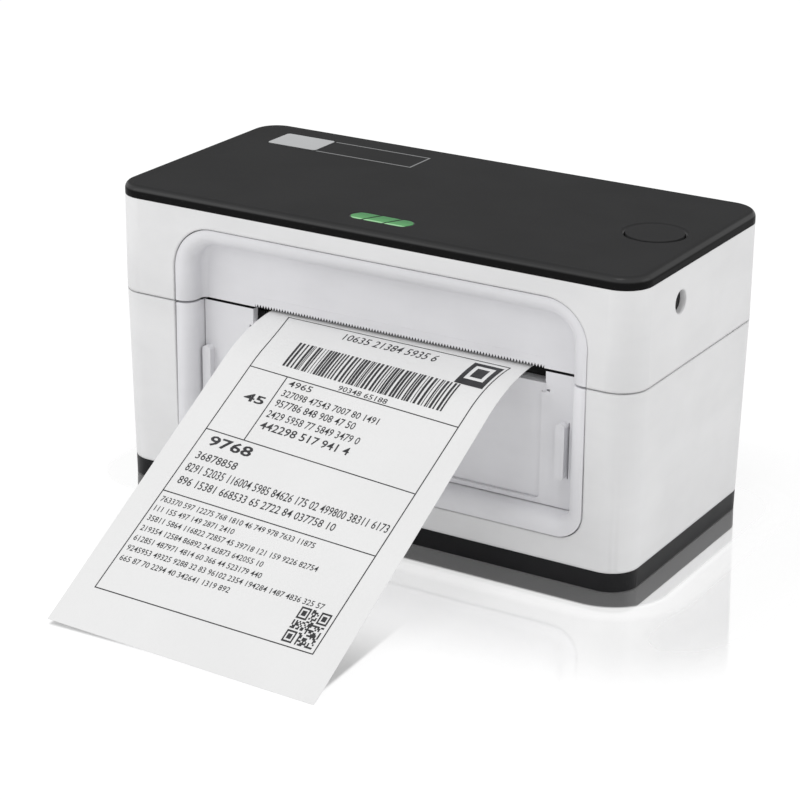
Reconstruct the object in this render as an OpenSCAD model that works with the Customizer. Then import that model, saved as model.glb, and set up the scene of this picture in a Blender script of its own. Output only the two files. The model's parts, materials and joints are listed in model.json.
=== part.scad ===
// Thermal label printer of the clamshell type, in millimetres.
// X runs to the right, Y to the rear, Z up; the table is Z = 0 and the origin is the footprint's centre.

/* [Case] */
// Width of the case
body_w = 216; // [210:0.5:230]
// Depth of the case
body_d = 104; // [102:0.5:115]
// Radius of the upright corners
corner_r = 11; // [8:0.5:14]
// Thinnest wall of the two housings
wall = 2.5; // [2:0.1:3]
// How far each side leans in from the seam down to the table
draft = 1.3; // [0.5:0.1:2]
// Height of the dark base band
base_h = 7.5; // [6.5:0.5:9]
// Height of the seam between the two halves
seam_z = 74.8; // [73:0.2:80]
// Height of the upper housing's top
housing_top = 111.5; // [110:0.5:118]
// Thickness of the top panel
lid_t = 4.6; // [4:0.2:6]
// Radius rolled over the top panel's upper edge
lid_edge_r = 2.6; // [1.5:0.1:3]

/* [Front] */
// Width of the front trim's outline
trim_w = 170.4; // [166:0.2:174]
// Sideways shift of the trim from the middle
trim_shift = 4.4; // [3:0.2:6]
// Lower edge of the trim
trim_bottom = 17.4; // [16:0.2:19]
// Upper edge of the trim
trim_top = 104.5; // [103:0.5:106]
// Upper corner radius of the trim
trim_top_r = 16.5; // [14:0.5:18]
// Lower corner radius of the trim
trim_bottom_r = 10; // [9.4:0.2:12]
// Width of the trim's rim
rim_w = 6.4; // [5.6:0.2:7]
// Radius rolled over the rim's inner edge
rim_round = 5; // [3:0.5:5.5]
// Depth of the recess behind the front
recess_depth = 9.5; // [9:0.5:11]
// Thickness of the recess faces
face_t = 3; // [2.6:0.2:3.6]
// Depth of the pocket under the paper lip
pocket_depth = 1.2; // [0.8:0.1:1.6]
// Height of the pinch tabs
tab_h = 21; // [16:1:24]
// Pitch of the tear bar's teeth
tooth_pitch = 1.2; // [1.1:0.1:2]

/* [Paper path] */
// Sideways place of the paper's centre line
paper_x = 8.6; // [7:0.2:10]
// Width of the label sheet
label_w = 108.6; // [100:0.2:110]
// Thickness of the label on its liner
label_t = 0.2; // [0.1:0.05:0.3]
// Slope of the label that hangs out
label_slope = 32; // [29:0.2:34]
// Radius of the label's bend through the slot
label_bend_r = 65; // [60:0.5:70]
// Width of the exit and entry slots
slot_w = 122; // [118:0.5:124]
// Radius of the platen
platen_r = 8; // [7.5:0.1:8.4]
// Radius of the platen's shaft
shaft_r = 3; // [2.6:0.1:3.2]

/* [Drive] */
// Gear module
gear_m = 1; // [0.95:0.05:1.05]
// Teeth of the platen gear
platen_teeth = 18; // [18]
// Teeth of the idler's small gear
idler_small = 10; // [10]
// Teeth of the idler's large gear
idler_large = 26; // [26]
// Teeth of the motor pinion
pinion_teeth = 10; // [10]
// Width of each gear
gear_w = 4; // [3.5:0.1:4.5]
// Radius of the motor's can
motor_r = 17.5; // [16:0.5:18]
// Length of the motor's can
motor_len = 22; // [18:1:24]

/* [Cover] */
// Distance of the hinge axis in front of the rear face
hinge_inset = 4; // [3.8:0.1:4.4]
// Drop of the hinge axis below the seam
hinge_drop = 8.8; // [8.4:0.2:10]
// Sideways place of each hinge arm
hinge_x = 84; // [82:0.5:86]
// Width of each hinge arm
arm_w = 14; // [11:0.5:15]
// Radius of the hinge pins
pin_r = 2; // [1.5:0.1:2.2]
// Drop of the release buttons below the housing's top
release_drop = 12; // [11.4:0.2:12.6]
// Place of the release buttons along the depth
release_y = -18; // [-20:0.5:-16]
// Radius of the release button holes
release_hole_r = 4.3; // [4:0.1:4.6]
// Travel of the release buttons
release_travel = 2.5; // [2:0.1:2.5]

/* [Top] */
// Distance of the feed button from the right side
feed_inset = 19.6; // [18:0.2:22]
// Feed button place along the depth
feed_y = 0.6; // [-3:0.2:3]
// Feed button radius
feed_r = 10.5; // [9:0.1:11]
// Travel of the feed button
feed_travel = 0.8; // [0.5:0.1:0.9]
// Status window length
led_len = 26; // [22:0.5:28]
// Status window width
led_w = 8.6; // [7:0.2:9.4]
// Status window place along the depth
led_y = -38; // [-39:0.5:-35]
// Badge plate length
badge_w = 22; // [18:0.5:26]
// Badge plate width
badge_d = 15.4; // [12:0.2:17]
// Length of the frame that carries the badge plate
badge_frame_w = 65; // [60:0.5:70]

/* [Rear] */
// Power switch place across the width
switch_x = -66; // [-68:0.5:-62]
// Height of the power switch's centre
switch_z = 28; // [27:0.5:30]
// USB socket place across the width
usb_x = 12; // [8:0.5:14]
// Power inlet place across the width
inlet_x = 36; // [34:0.5:40]

/* [Fits] */
// Gap between the two halves
parting = 0.5; // [0.4:0.1:0.8]
// Gap of the line round the front trim
groove = 0.4; // [0.35:0.05:0.6]
// Radial clearance of turning fits
run_fit = 0.05; // [0.03:0.01:0.08]
// Air between pieces that pass each other
air = 0.4; // [0.35:0.05:0.5]

/* [Hidden] */
$fn = 64;
// Overlap that joins the solids of one piece
root = 0.5;
// How far a cutter runs past a face
cut = 1;
// Gap between pieces that are seated by hand
seat = 0.3;

// Halves of the case
half_w = body_w / 2;
half_d = body_d / 2;
front_y = -half_d;
shell_t = wall + draft;
lower_top = seam_z - parting / 2;
upper_bottom = seam_z + parting / 2;
ceiling_t = 2.5;
ceiling_z = housing_top - ceiling_t;
lid_top = housing_top + lid_t;

// Base, feet and vents
foot_h = 0.3;
foot_w = 5;
foot_inset = 7;
foot_sunk = 1;
tray_floor_t = 3.4;
tray_floor_z = foot_h + tray_floor_t;
inner_w = body_w - 2 * shell_t;
inner_d = body_d - 2 * shell_t;
inner_r = corner_r - shell_t;
lip_t = 1.6;
lip_h = 3;
lip_gap = 0.2;
lip_w = inner_w - 2 * lip_gap;
lip_d = inner_d - 2 * lip_gap;
vent_w = 3;
vent_len = 30;
vent_pitch = 9;
vent_y = -8;
vent_side = 3;

// Screws and the posts that take them
screw_r = 1.25;
screw_head_r = 2.6;
screw_head_t = 1.8;
screw_slot_w = 0.6;
screw_slot_t = 1;
screw_hole_r = screw_r + 0.2;
counterbore_h = 3.3;
screw_x = half_w - 17;
screw_y = half_d - 20;
case_post_r = 4.5;
case_screw_len = 12;
housing_post_r = 3.6;
housing_post_h = 20;
rib_t = 2;
chassis_post_r = 4;
chassis_screw_len = 6;
board_post_r = 3;
board_screw_len = 4.5;
post_r = 3;
liner_screw_len = 10;

// Front trim and recess
trim_x0 = trim_shift - trim_w / 2;
trim_x1 = trim_shift + trim_w / 2;
rim_sink = 0.4;
rim_wall = 2;
flange_t = 1.5;
flange_w = 2.5;
ledge_w = 2;
recess_y = front_y + recess_depth;
face_back = recess_y + face_t;
recess_x0 = trim_x0 + rim_w;
recess_x1 = trim_x1 - rim_w;
recess_z0 = trim_bottom + rim_w;
recess_z1 = trim_top - rim_w;
recess_fillet = 2.4;
face_drop = 0.4;
face_top = lower_top - face_drop;
panel_x0 = recess_x0 + air;
panel_x1 = recess_x1 - air;
panel_z0 = recess_z0 + air;

// Slot, lower panel and tear bar
slot_x0 = paper_x - slot_w / 2;
slot_x1 = paper_x + slot_w / 2;
slot_low = lower_top - 5.4;
lip_r = 3;
pocket_edge = 1.4;
pocket_r = 2;
pocket_z0 = panel_z0 + 1.5;
pocket_line = 0.5;
pocket_line_d = 0.5;
tab_w = 3.6;
tab_out = 3;
tab_z = recess_z0 + 12;
tab_left_in = 0.4;
tab_right_in = 3.8;
slit_w = 0.5;
slit_d = 1.6;
notch_w = 1.4;
notch_d = 1.6;
notch_h = 0.9;
notch_drop = 2.4;
tear_t = 1;
tear_h = 4;
tooth_h = 1.3;
tooth_relief = 1.2;
tear_x0 = slot_x0 + 2 * air;
tear_w = slot_w - 4 * air;

// Paper, platen, chassis and deck
path_z = lower_top - 0.05;
label_x0 = paper_x - label_w / 2;
label_tail = 24;
bend_y = recess_y + 6.1;
bend_steps = 16;
label_hang = (path_z - label_bend_r * (1 - cos(label_slope))) / sin(label_slope);
platen_z = path_z - seat - platen_r;
platen_y = recess_y + 16.5;
platen_len = label_w + 3.4;
platen_x0 = paper_x - platen_len / 2;
plate_t = 2;
plate_gap = 6.6;
plate_x0 = platen_x0 - plate_gap - plate_t;
plate_x1 = platen_x0 + platen_len + plate_gap;
chassis_floor_z = 28;
chassis_floor_t = 1.5;
chassis_front = face_back + 1.5;
chassis_rear = platen_y + 14;
chassis_edge_x = 11;
chassis_edge_y = 5;
deck_t = 2.5;
deck_top = lower_top - 2.15;
deck_z = deck_top - deck_t;
deck_front = platen_y + platen_r + 1.2;
deck_rear = half_d - 0.4;
deck_x0 = plate_x0 - 1.5;
deck_x1 = plate_x1 + plate_t + 1.5;
bush_r = 5;
bush_flange_r = 6;
bush_flange_t = 1;
bearing_edge = 2;
shaft_end = 4;
sensor_w = 8;
sensor_d = 6;
sensor_h = 4;
sensor_edge = 3;
sensor_y = deck_front + 6;

// Drive train
gear_play = 0.12;
gear_root = 1.25;
gear_tip = 0.85;
root_share = 0.3;
tip_share = 0.1;
gear_gap = 1.5;
gear_a_x = plate_x0 - gear_gap - bush_flange_t - gear_w;
gear_b_x = gear_a_x - gear_gap - gear_w;
idler_turn = -46;
motor_turn = -29;
idler_reach = gear_m * (platen_teeth + idler_small) / 2 + gear_play;
motor_reach = gear_m * (idler_large + pinion_teeth) / 2 + gear_play;
idler_y = platen_y + idler_reach * cos(idler_turn);
idler_z = platen_z + idler_reach * sin(idler_turn);
motor_y = idler_y + motor_reach * cos(motor_turn);
motor_z = idler_z + motor_reach * sin(motor_turn);
stud_r = 2;
stud_head_t = 1;
spindle_r = 1.5;
motor_ear = motor_r + 4;
motor_boss_r = 5;
motor_bead = 0.6;
motor_plug = [12, 14, 8];
spindle_in = 9;
ear_r = 3.6;
ear_t = 1;
ear_edge = 4.5;
motor_screw_len = 4.5;

// Media guides
guide_y = 22;
guide_teeth = 14;
guide_pr = gear_m * guide_teeth / 2;
guide_travel = 34;
guide_wall_t = 1.6;
guide_wall_h = 3.7;
guide_foot_w = 5.4;
guide_foot_t = 1.2;
guide_y0 = guide_y - 18;
guide_len = 36;
rack_w = 4;
rack_h = 3.2;
rack_z = deck_z - 0.7 - rack_h;
rack_line = guide_pr + gear_play;
stem_w = 3;
stem_y = rack_line + gear_root * gear_m + rack_w / 2;
stem_x = label_x0 - 3.6;
rack_end = paper_x + 11;
stub_end = 1;
pinion_screw_r = 0.9;
pinion_screw_len = 4;
washer_r = 3.4;
washer_t = 1.2;

// Hinge, latches and release buttons
hinge_y = half_d - hinge_inset;
hinge_z = seam_z - hinge_drop;
lug_t = 3;
lug_edge = 1.6;
rear_relief = 0.8;
arm_top = upper_bottom + 12;
entry_h = 5;
release_z = housing_top - release_drop;
lever_t = 3;
lever_w = 8;
lever_ratio = 6.2;
lever_arm = lever_ratio * release_travel;
lever_pivot_z = release_z - lever_arm;
catch_r = 1.5;
catch_z = seam_z - 10.8;
nose_t = 1.5;
nose_z = catch_z - catch_r - seat;
lever_swing = (lever_pivot_z - nose_z + nose_t) / lever_ratio;
lever_x = half_w - shell_t - lever_t - lever_swing - 2 * air;
catch_x = lever_x - 5;
catch_lug_t = 2.5;
catch_lug_gap = 1.5;
catch_lug_h = 8;
latch_pin_r = 1.5;
latch_lug_gap = 0.7;
release_stem_r = 2;
release_gap = 0.6;
release_flange = 0.9;
release_flange_t = 1.5;
release_recess = 2.2;

// Print head and cover liner
head_w = 18;
head_len = platen_len + 4;
head_strip_z = path_z + label_t + seat;
head_strip_t = 1.6;
head_strip_w = 10;
head_z = head_strip_z + head_strip_t;
head_t = 7.8;
head_top = head_z + head_t;
head_mount_z = head_top + 14;
head_mount_t = 2;
mount_edge = 4;
head_pin_r = 2;
head_pin_x = 45;
head_pin_z = head_z + 2.5;
fin_side = 3;
fin_gap = 1.2;
fin_pitch = 2.3;
fin_z = head_z + 3.5;
fin_end = 16;
spring_wire = 0.6;
spring_r = 3.6;
spring_turns = 5;
liner_z = deck_top + 6.6;
liner_t = 2;
liner_front = platen_y + head_w / 2 + 3;
liner_rear = half_d - shell_t - 4;
liner_rib_w = 1.6;
liner_rib_h = 1;
liner_edge_x = 8;
liner_edge_y = 5;
liner_rib_side = 3;
liner_rib_pitch = (slot_w - 4 * liner_edge_x) / (2 * liner_rib_side);

// Boards, sockets and switch
board_t = 1.6;
panel_board_z = ceiling_z - 4;
panel_board_d = 11;
panel_post_r = 2.4;
panel_edge = 12;
feed_x = half_w - feed_inset;
feed_flange_r = feed_r + 1.2;
feed_flange_t = 1;
feed_stem_r = feed_r - 4;
button_switch = [6, 6, 1.2];
status_light = [3, 2, 1.1];
board_z = 10;
board_top = board_z + board_t;
board_w = 92;
board_x0 = paper_x - 37;
board_y0 = -4;
board_d = inner_d / 2 - lip_t - 2 * air - board_y0;
board_edge = 4;
board_rear_edge = 18;
processor = [14, 14, 1.4];
driver_chip = [9, 7, 1.7];
head_plug = [30, 5, 5.9];
capacitor_r = 4;
capacitor_h = 12;
capacitor_pitch = 11;
rear_panel_y = half_d - draft - 0.3;
rear_panel_edge = 14;
usb_w = 12;
usb_h = 11;
usb_len = 16;
usb_bore = [8.6, 7.8, 9];
usb_bevel = [2, 2.4];
usb_tongue = [5.8, 9.4, 3.2];
inlet_w = 9;
inlet_h = 11;
inlet_len = 14;
inlet_bore_r = 3.2;
inlet_bore_len = 10;
inlet_pin_r = 1;
switch_w = 15;
switch_h = 21;
switch_rim_t = 1.4;
switch_body_w = 13;
switch_body_h = 19;
switch_len = 14;
rocker_tilt = 9;
rocker_w = 9.4;
rocker_h = 16;
rocker_in = 2;
trunnion_r = 1.2;
badge_sunk = 0.4;
badge_t = 0.6;
badge_line = 0.7;
badge_r = 1.5;
badge_x = -half_w + 17.4;
badge_y = half_d - 12 - badge_d;
led_rim = 0.6;
led_slant = 2.2;
led_bar = 1.1;
led_seat = 1.5;
well_bevel = [1.2, 0.8];

// A rectangle with round corners, drawn about its centre
module rounded_rect(w, d, r) {
    square([w - 2 * r, d], center = true);
    square([w, d - 2 * r], center = true);
    for (sx = [-1, 1], sy = [-1, 1])
        translate([sx * (w / 2 - r), sy * (d / 2 - r)])
            circle(r);
}

// A prism along X whose outline is drawn as (Y, Z)
module along_x(x, length) {
    translate([x, 0, 0])
        rotate([90, 0, 90])
            linear_extrude(length)
                children();
}

// A prism along Y whose outline is drawn as (X, Z)
module along_y(y, length) {
    translate([0, y + length, 0])
        rotate([90, 0, 0])
            linear_extrude(length)
                children();
}

// A round bar along X
module rod_x(x, y, z, r, length) {
    translate([x, y, z])
        rotate([0, 90, 0])
            cylinder(h = length, r = r);
}

// A round bar along Y
module rod_y(x, y, z, r, length) {
    translate([x, y, z])
        rotate([-90, 0, 0])
            cylinder(h = length, r = r);
}

// A box given by its low corner and its size
module block(x, y, z, w, d, h) {
    translate([x, y, z])
        cube([w, d, h]);
}

// Inset of the leaning side at height z
function lean(z) = draft * (seam_z - z) / seam_z;

// The case's outer form between two heights below the seam, leaning in towards the table
module leaning_block(z0, z1) {
    w0 = body_w - 2 * lean(z0);
    d0 = body_d - 2 * lean(z0);
    w1 = body_w - 2 * lean(z1);
    d1 = body_d - 2 * lean(z1);
    translate([0, 0, z0])
        linear_extrude(z1 - z0, scale = [w1 / w0, d1 / d0], slices = 1)
            rounded_rect(w0, d0, corner_r);
}

// A panel with two round corners at its upper end, drawn as (X, Z)
module arch(x0, x1, z0, z1, r) {
    translate([x0, z0])
        square([x1 - x0, z1 - r - z0]);
    translate([x0 + r, z0])
        square([x1 - x0 - 2 * r, z1 - z0]);
    translate([x0 + r, z1 - r])
        circle(r);
    translate([x1 - r, z1 - r])
        circle(r);
}

// The same panel with its round corners at the lower end
module cup(x0, x1, z0, z1, r) {
    mirror([0, 1])
        arch(x0, x1, -z1, -z0, r);
}

// A quarter turn of a trim section round a corner of radius r
module corner_turn(r, turn) {
    rotate([-90, 0, 0])
        rotate([0, 0, turn])
            rotate_extrude(angle = 90)
                translate([r, 0])
                    mirror([1, 0])
                        children();
}

// Sweeps a trim section up one side, over the top and down the other side of an opening of height h.
// The section is drawn as (distance inwards from the outline, depth behind the front).
module half_frame(h, r) {
    straight = h - r;
    translate([trim_x0, front_y, 0])
        linear_extrude(straight)
            children();
    translate([trim_x1, front_y, 0])
        mirror([1, 0, 0])
            linear_extrude(straight)
                children();
    translate([trim_x0 + r, front_y, h])
        rotate([0, 90, 0])
            linear_extrude(trim_w - 2 * r)
                children();
    translate([trim_x0 + r, front_y, straight])
        corner_turn(r, 180)
            children();
    translate([trim_x1 - r, front_y, straight])
        corner_turn(r, 270)
            children();
}

// Section of the moulded rim: a hollow bar with a rolled inner edge and a flange behind the wall
module rim_section() {
    difference() {
        union() {
            translate([0, rim_sink])
                square([rim_w - rim_round, recess_depth + face_t - rim_sink]);
            translate([0, rim_sink + rim_round])
                square([rim_w, recess_depth + face_t - rim_sink - rim_round]);
            translate([rim_w - rim_round, rim_sink + rim_round])
                intersection() {
                    circle(rim_round);
                    translate([0, -rim_round])
                        square(rim_round);
                }
        }
        translate([rim_wall, rim_sink + rim_round])
            square([rim_w - 2 * rim_wall, recess_depth + face_t]);
    }
    translate([-flange_w, shell_t])
        square([flange_w + rim_wall, flange_t]);
}

// Section of the ledge that the lower panel rests on
module ledge_section() {
    translate([rim_w - rim_wall, recess_depth + face_t])
        square([rim_wall + ledge_w, flange_t]);
}

// Section of the soft corner where the rim meets the recess face
module fillet_section() {
    translate([rim_w, recess_depth - recess_fillet])
        difference() {
            square(recess_fillet);
            translate([recess_fillet, 0])
                circle(recess_fillet);
        }
}

// Section of a plate's edge with its upper rim rolled over
module rolled_edge(w, t, e) {
    difference() {
        square([w, t]);
        translate([w - e, t - e])
            difference() {
                square(e + 1);
                circle(e);
            }
    }
}

// Outline of a spur gear with straight flanks
function gear_outline(teeth) = [
    for (i = [0 : teeth - 1], k = [0 : 3])
        let (
            pitch = 360 / teeth,
            low = k == 0 || k == 3,
            r = gear_m * (teeth / 2 + (low ? -gear_root : gear_tip)),
            half = pitch * (low ? root_share : tip_share),
            a = i * pitch + (k < 2 ? -half : half)
        )
        [r * cos(a), r * sin(a)]
];

// A gear across the drive, lying in the (Y, Z) plane, turned so that a tooth points along turn
module drive_gear(x, y, z, teeth, turn, width) {
    translate([x, y, z])
        rotate([90, 0, 90])
            rotate([0, 0, turn])
                linear_extrude(width)
                    polygon(gear_outline(teeth));
}

// A pan-head screw that points up, its head's underside at the given height
module screw_up(x, y, z, length) {
    translate([x, y, z - screw_head_t])
        difference() {
            union() {
                cylinder(h = screw_head_t, r = screw_head_r);
                cylinder(h = screw_head_t + length, r = screw_r);
            }
            for (turn = [0, 90])
                rotate([0, 0, turn])
                    translate([-screw_r, -screw_slot_w / 2, -cut])
                        cube([2 * screw_r, screw_slot_w, screw_slot_t + cut]);
        }
}

// The same screw, pointing down
module screw_down(x, y, z, length) {
    translate([x, y, z])
        mirror([0, 0, 1])
            screw_up(0, 0, 0, length);
}

// Places a shape on the right and its mirror image on the left
module both_sides() {
    children();
    mirror([1, 0, 0])
        children();
}

// Base tray with its locating lip, chassis posts and board posts
module base_tray() {
    color([0.13, 0.13, 0.14])
        difference() {
            union() {
                difference() {
                    leaning_block(foot_h, base_h);
                    translate([0, 0, tray_floor_z])
                        linear_extrude(base_h)
                            rounded_rect(lip_w - 2 * lip_t, lip_d - 2 * lip_t, inner_r - lip_t);
                }
                translate([0, 0, tray_floor_z])
                    linear_extrude(base_h + lip_h - tray_floor_z)
                        difference() {
                            rounded_rect(lip_w, lip_d, inner_r);
                            rounded_rect(lip_w - 2 * lip_t, lip_d - 2 * lip_t, inner_r - lip_t);
                        }
                translate([0, 0, tray_floor_z - root]) {
                    chassis_points()
                        cylinder(h = chassis_floor_z - tray_floor_z + root, r = chassis_post_r);
                    board_points()
                        cylinder(h = board_z - tray_floor_z + root, r = board_post_r);
                    case_points()
                        cylinder(h = base_h - tray_floor_z + root, r = case_post_r);
                }
            }
            foot_ring_form();
            case_points()
                cylinder(h = base_h + cut, r = screw_hole_r);
            case_points()
                cylinder(h = foot_h + counterbore_h, r = screw_head_r + seat);
            chassis_points()
                translate([0, 0, chassis_floor_z - chassis_screw_len - cut])
                    cylinder(h = chassis_screw_len + 2 * cut, r = screw_r);
            board_points()
                translate([0, 0, board_z - board_screw_len])
                    cylinder(h = board_screw_len + cut, r = screw_r);
            for (i = [-vent_side : vent_side])
                block(paper_x + i * vent_pitch - vent_w / 2, vent_y, 0,
                      vent_w, vent_len, tray_floor_z + cut);
        }
}

// Chassis screw places
module chassis_points() {
    for (x = [plate_x0 + plate_t + chassis_edge_x, plate_x1 - chassis_edge_x])
        for (y = [chassis_front + chassis_edge_y, chassis_rear - chassis_edge_y])
            translate([x, y, 0])
                children();
}

// Board screw places
module board_points() {
    for (x = [board_x0 + board_edge, board_x0 + board_w - board_edge])
        for (y = [board_y0 + board_edge, board_y0 + board_d - board_rear_edge])
            translate([x, y, 0])
                children();
}

// Case screw places
module case_points() {
    for (sx = [-1, 1], sy = [-1, 1])
        translate([sx * screw_x, sy * screw_y, 0])
            children();
}

// The foot ring's solid, also used to cut its groove
module foot_ring_form() {
    outer = foot_inset + foot_w;
    linear_extrude(foot_h + foot_sunk)
        difference() {
            rounded_rect(body_w - 2 * foot_inset, body_d - 2 * foot_inset, corner_r);
            rounded_rect(body_w - 2 * outer, body_d - 2 * outer, inner_r);
        }
}

module foot_ring() {
    color([0.08, 0.08, 0.08])
        foot_ring_form();
}

module base_screws() {
    color([0.6, 0.6, 0.62])
        case_points()
            screw_up(0, 0, foot_h + counterbore_h, case_screw_len);
}

// Lower housing: leaning shell with the front opening, rear cut-outs, hinge lugs and catch lugs
module lower_housing() {
    lug_inner = hinge_x - arm_w / 2 - air;
    notch_z = hinge_z - hinge_inset - root;
    catch_y = lever_w / 2 + catch_lug_gap;
    rib_z = base_h + lip_h + root;
    color([0.93, 0.93, 0.94])
        difference() {
            union() {
                difference() {
                    leaning_block(base_h, lower_top);
                    translate([0, 0, base_h - cut])
                        linear_extrude(lower_top)
                            rounded_rect(inner_w, inner_d, inner_r);
                }
                both_sides()
                    for (y = [-screw_y, screw_y]) {
                        translate([screw_x, y, base_h])
                            cylinder(h = housing_post_h, r = housing_post_r);
                        block(screw_x, y - rib_t / 2, rib_z, half_w - shell_t - screw_x + root, rib_t,
                              base_h + housing_post_h - rib_z);
                    }
                both_sides()
                    for (x = [lug_inner - lug_t, lug_inner + arm_w + 2 * air])
                        along_x(x, lug_t) {
                            translate([hinge_y, hinge_z])
                                circle(pin_r + lug_edge);
                            translate([hinge_y, hinge_z - pin_r - lug_edge])
                                square([half_d - shell_t - hinge_y + root, 2 * (pin_r + lug_edge)]);
                        }
                both_sides()
                    for (y = [release_y - catch_y - catch_lug_t, release_y + catch_y])
                        block(catch_x - 2 * catch_r, y, catch_z - catch_lug_h / 2,
                              half_w - shell_t - catch_x + 2 * catch_r + root, catch_lug_t, catch_lug_h);
            }
            along_y(front_y - cut, shell_t + 2 * cut)
                cup(trim_x0 - groove, trim_x1 + groove, trim_bottom - groove, lower_top + cut,
                    trim_bottom_r + groove);
            block(-half_w, half_d - shell_t, lower_top - rear_relief,
                  body_w, shell_t + cut, rear_relief + cut);
            block(deck_x0, half_d - shell_t - cut, deck_z, deck_x1 - deck_x0, shell_t + 2 * cut, lower_top);
            both_sides()
                block(lug_inner, half_d - shell_t - root, notch_z,
                      arm_w + 2 * air, shell_t + 2 * cut, lower_top);
            both_sides()
                rod_x(hinge_x - arm_w, hinge_y, hinge_z, pin_r, 2 * arm_w);
            both_sides()
                rod_y(catch_x, release_y - lever_w, catch_z, catch_r, 2 * lever_w);
            case_points()
                translate([0, 0, base_h - cut])
                    cylinder(h = case_screw_len + 2 * cut, r = screw_r);
            rear_cutouts();
        }
}

// Recessed rear socket panel and its openings
module rear_cutouts() {
    inner_y = half_d - shell_t - cut;
    through = shell_t + 2 * cut;
    socket_x0 = switch_x - rear_panel_edge;
    block(socket_x0, rear_panel_y, board_z + cut, inlet_x + rear_panel_edge - socket_x0, shell_t,
          switch_h + rear_panel_edge);
    block(switch_x - switch_body_w / 2, inner_y, switch_z - switch_body_h / 2, switch_body_w, through,
          switch_body_h);
    block(usb_x - usb_w / 2 - seat, inner_y, board_top - seat, usb_w + 2 * seat, through, usb_h + 2 * seat);
    block(inlet_x - inlet_w / 2 - seat, inner_y, board_top - seat, inlet_w + 2 * seat, through,
          inlet_h + 2 * seat);
}

// Lower half of the front trim with the ledge behind it
module lower_bezel() {
    color([0.9, 0.9, 0.92])
        translate([0, 0, face_top])
            mirror([0, 0, 1])
                half_frame(face_top - trim_bottom, trim_bottom_r) {
                    rim_section();
                    ledge_section();
                }
}

// Clip-in panel with the paper lip, the shallow pocket with its outline and two pinch tabs beside slits
module lower_panel() {
    lip_back = platen_y - platen_r - 3 * air;
    tab_gap = air / 2;
    color([0.9, 0.9, 0.92])
        difference() {
            union() {
                along_y(recess_y, face_t)
                    difference() {
                        cup(panel_x0, panel_x1, panel_z0, face_top, trim_bottom_r - rim_w - air);
                        translate([slot_x0, slot_low])
                            square([slot_w, lower_top]);
                    }
                along_x(slot_x0, slot_w)
                    translate([recess_y + pocket_depth, slot_low - lip_r])
                        paper_lip(lip_back - recess_y - pocket_depth);
                for (x = [panel_x0 + tab_left_in, panel_x1 - tab_right_in - tab_w])
                    along_y(recess_y - tab_out, tab_out + root)
                        translate([x + tab_w / 2, tab_z + tab_h / 2])
                            rounded_rect(tab_w, tab_h, tab_w / 2 - tab_gap / 2);
            }
            along_y(recess_y - cut, pocket_depth + cut)
                cup(slot_x0 + pocket_edge, slot_x1 - pocket_edge, pocket_z0, slot_low + cut, pocket_r);
            along_y(recess_y, pocket_depth + pocket_line_d)
                difference() {
                    pocket_outline(0);
                    pocket_outline(pocket_line);
                }
            block(panel_x1 - tab_right_in, recess_y - cut, tab_z, slit_w, slit_d + cut, tab_h);
            along_x(slot_x0 - tab_gap, slot_w + 2 * tab_gap)
                translate([recess_y - cut, slot_low - lip_r])
                    square([pocket_depth + cut, lip_r + cut]);
            for (x = [slot_x0 - air - notch_w, slot_x1 + air])
                block(x, recess_y - cut, slot_low - notch_drop, notch_w, notch_d + cut, notch_h);
        }
}

// Outline of the pocket below the paper lip, drawn in by an inset
module pocket_outline(inset) {
    edge = pocket_edge + inset;
    cup(slot_x0 + edge, slot_x1 - edge, pocket_z0 + inset, slot_low - lip_r, pocket_r - inset);
}

// Section of the paper lip: a bar whose upper front edge is rolled over
module paper_lip(depth) {
    translate([lip_r, 0])
        square([depth - lip_r, lip_r]);
    intersection() {
        translate([lip_r, 0])
            circle(lip_r);
        square(lip_r);
    }
}

// Bent steel chassis: two bearing plates on a floor, the left one with a wing for the motor
module chassis() {
    plate_h = deck_z - chassis_floor_z;
    left_len = motor_y + motor_ear + ear_edge - chassis_front;
    floor_len = chassis_rear - chassis_front;
    bearing_len = platen_y + bush_r + bearing_edge - chassis_front;
    bearing_h = platen_z + bush_r + bearing_edge - chassis_floor_z;
    bore_x = plate_x0 - cut;
    color([0.66, 0.67, 0.69])
        difference() {
            union() {
                block(plate_x0, chassis_front, chassis_floor_z, plate_t, left_len, plate_h);
                block(plate_x1, chassis_front, chassis_floor_z, plate_t, floor_len + 2 * plate_t, plate_h);
                for (x = [plate_x0, plate_x1])
                    block(x, chassis_front, chassis_floor_z, plate_t, bearing_len, bearing_h);
                block(plate_x0, chassis_front, chassis_floor_z, plate_x1 + plate_t - plate_x0, floor_len,
                      chassis_floor_t);
            }
            rod_x(bore_x, platen_y, platen_z, bush_r, plate_x1 - plate_x0 + plate_t + 2 * cut);
            rod_x(bore_x, idler_y, idler_z, stud_r, plate_t + 2 * cut);
            rod_x(bore_x, motor_y, motor_z, motor_boss_r, plate_t + 2 * cut);
            for (y = [motor_y - motor_ear, motor_y + motor_ear])
                rod_x(bore_x, y, motor_z, screw_hole_r, plate_t + 2 * cut);
            chassis_points()
                translate([0, 0, chassis_floor_z - cut])
                    cylinder(h = chassis_floor_t + 2 * cut, r = screw_hole_r);
        }
}

module chassis_screws() {
    color([0.6, 0.6, 0.62])
        chassis_points()
            screw_down(0, 0, chassis_floor_z + chassis_floor_t, chassis_screw_len);
}

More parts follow.
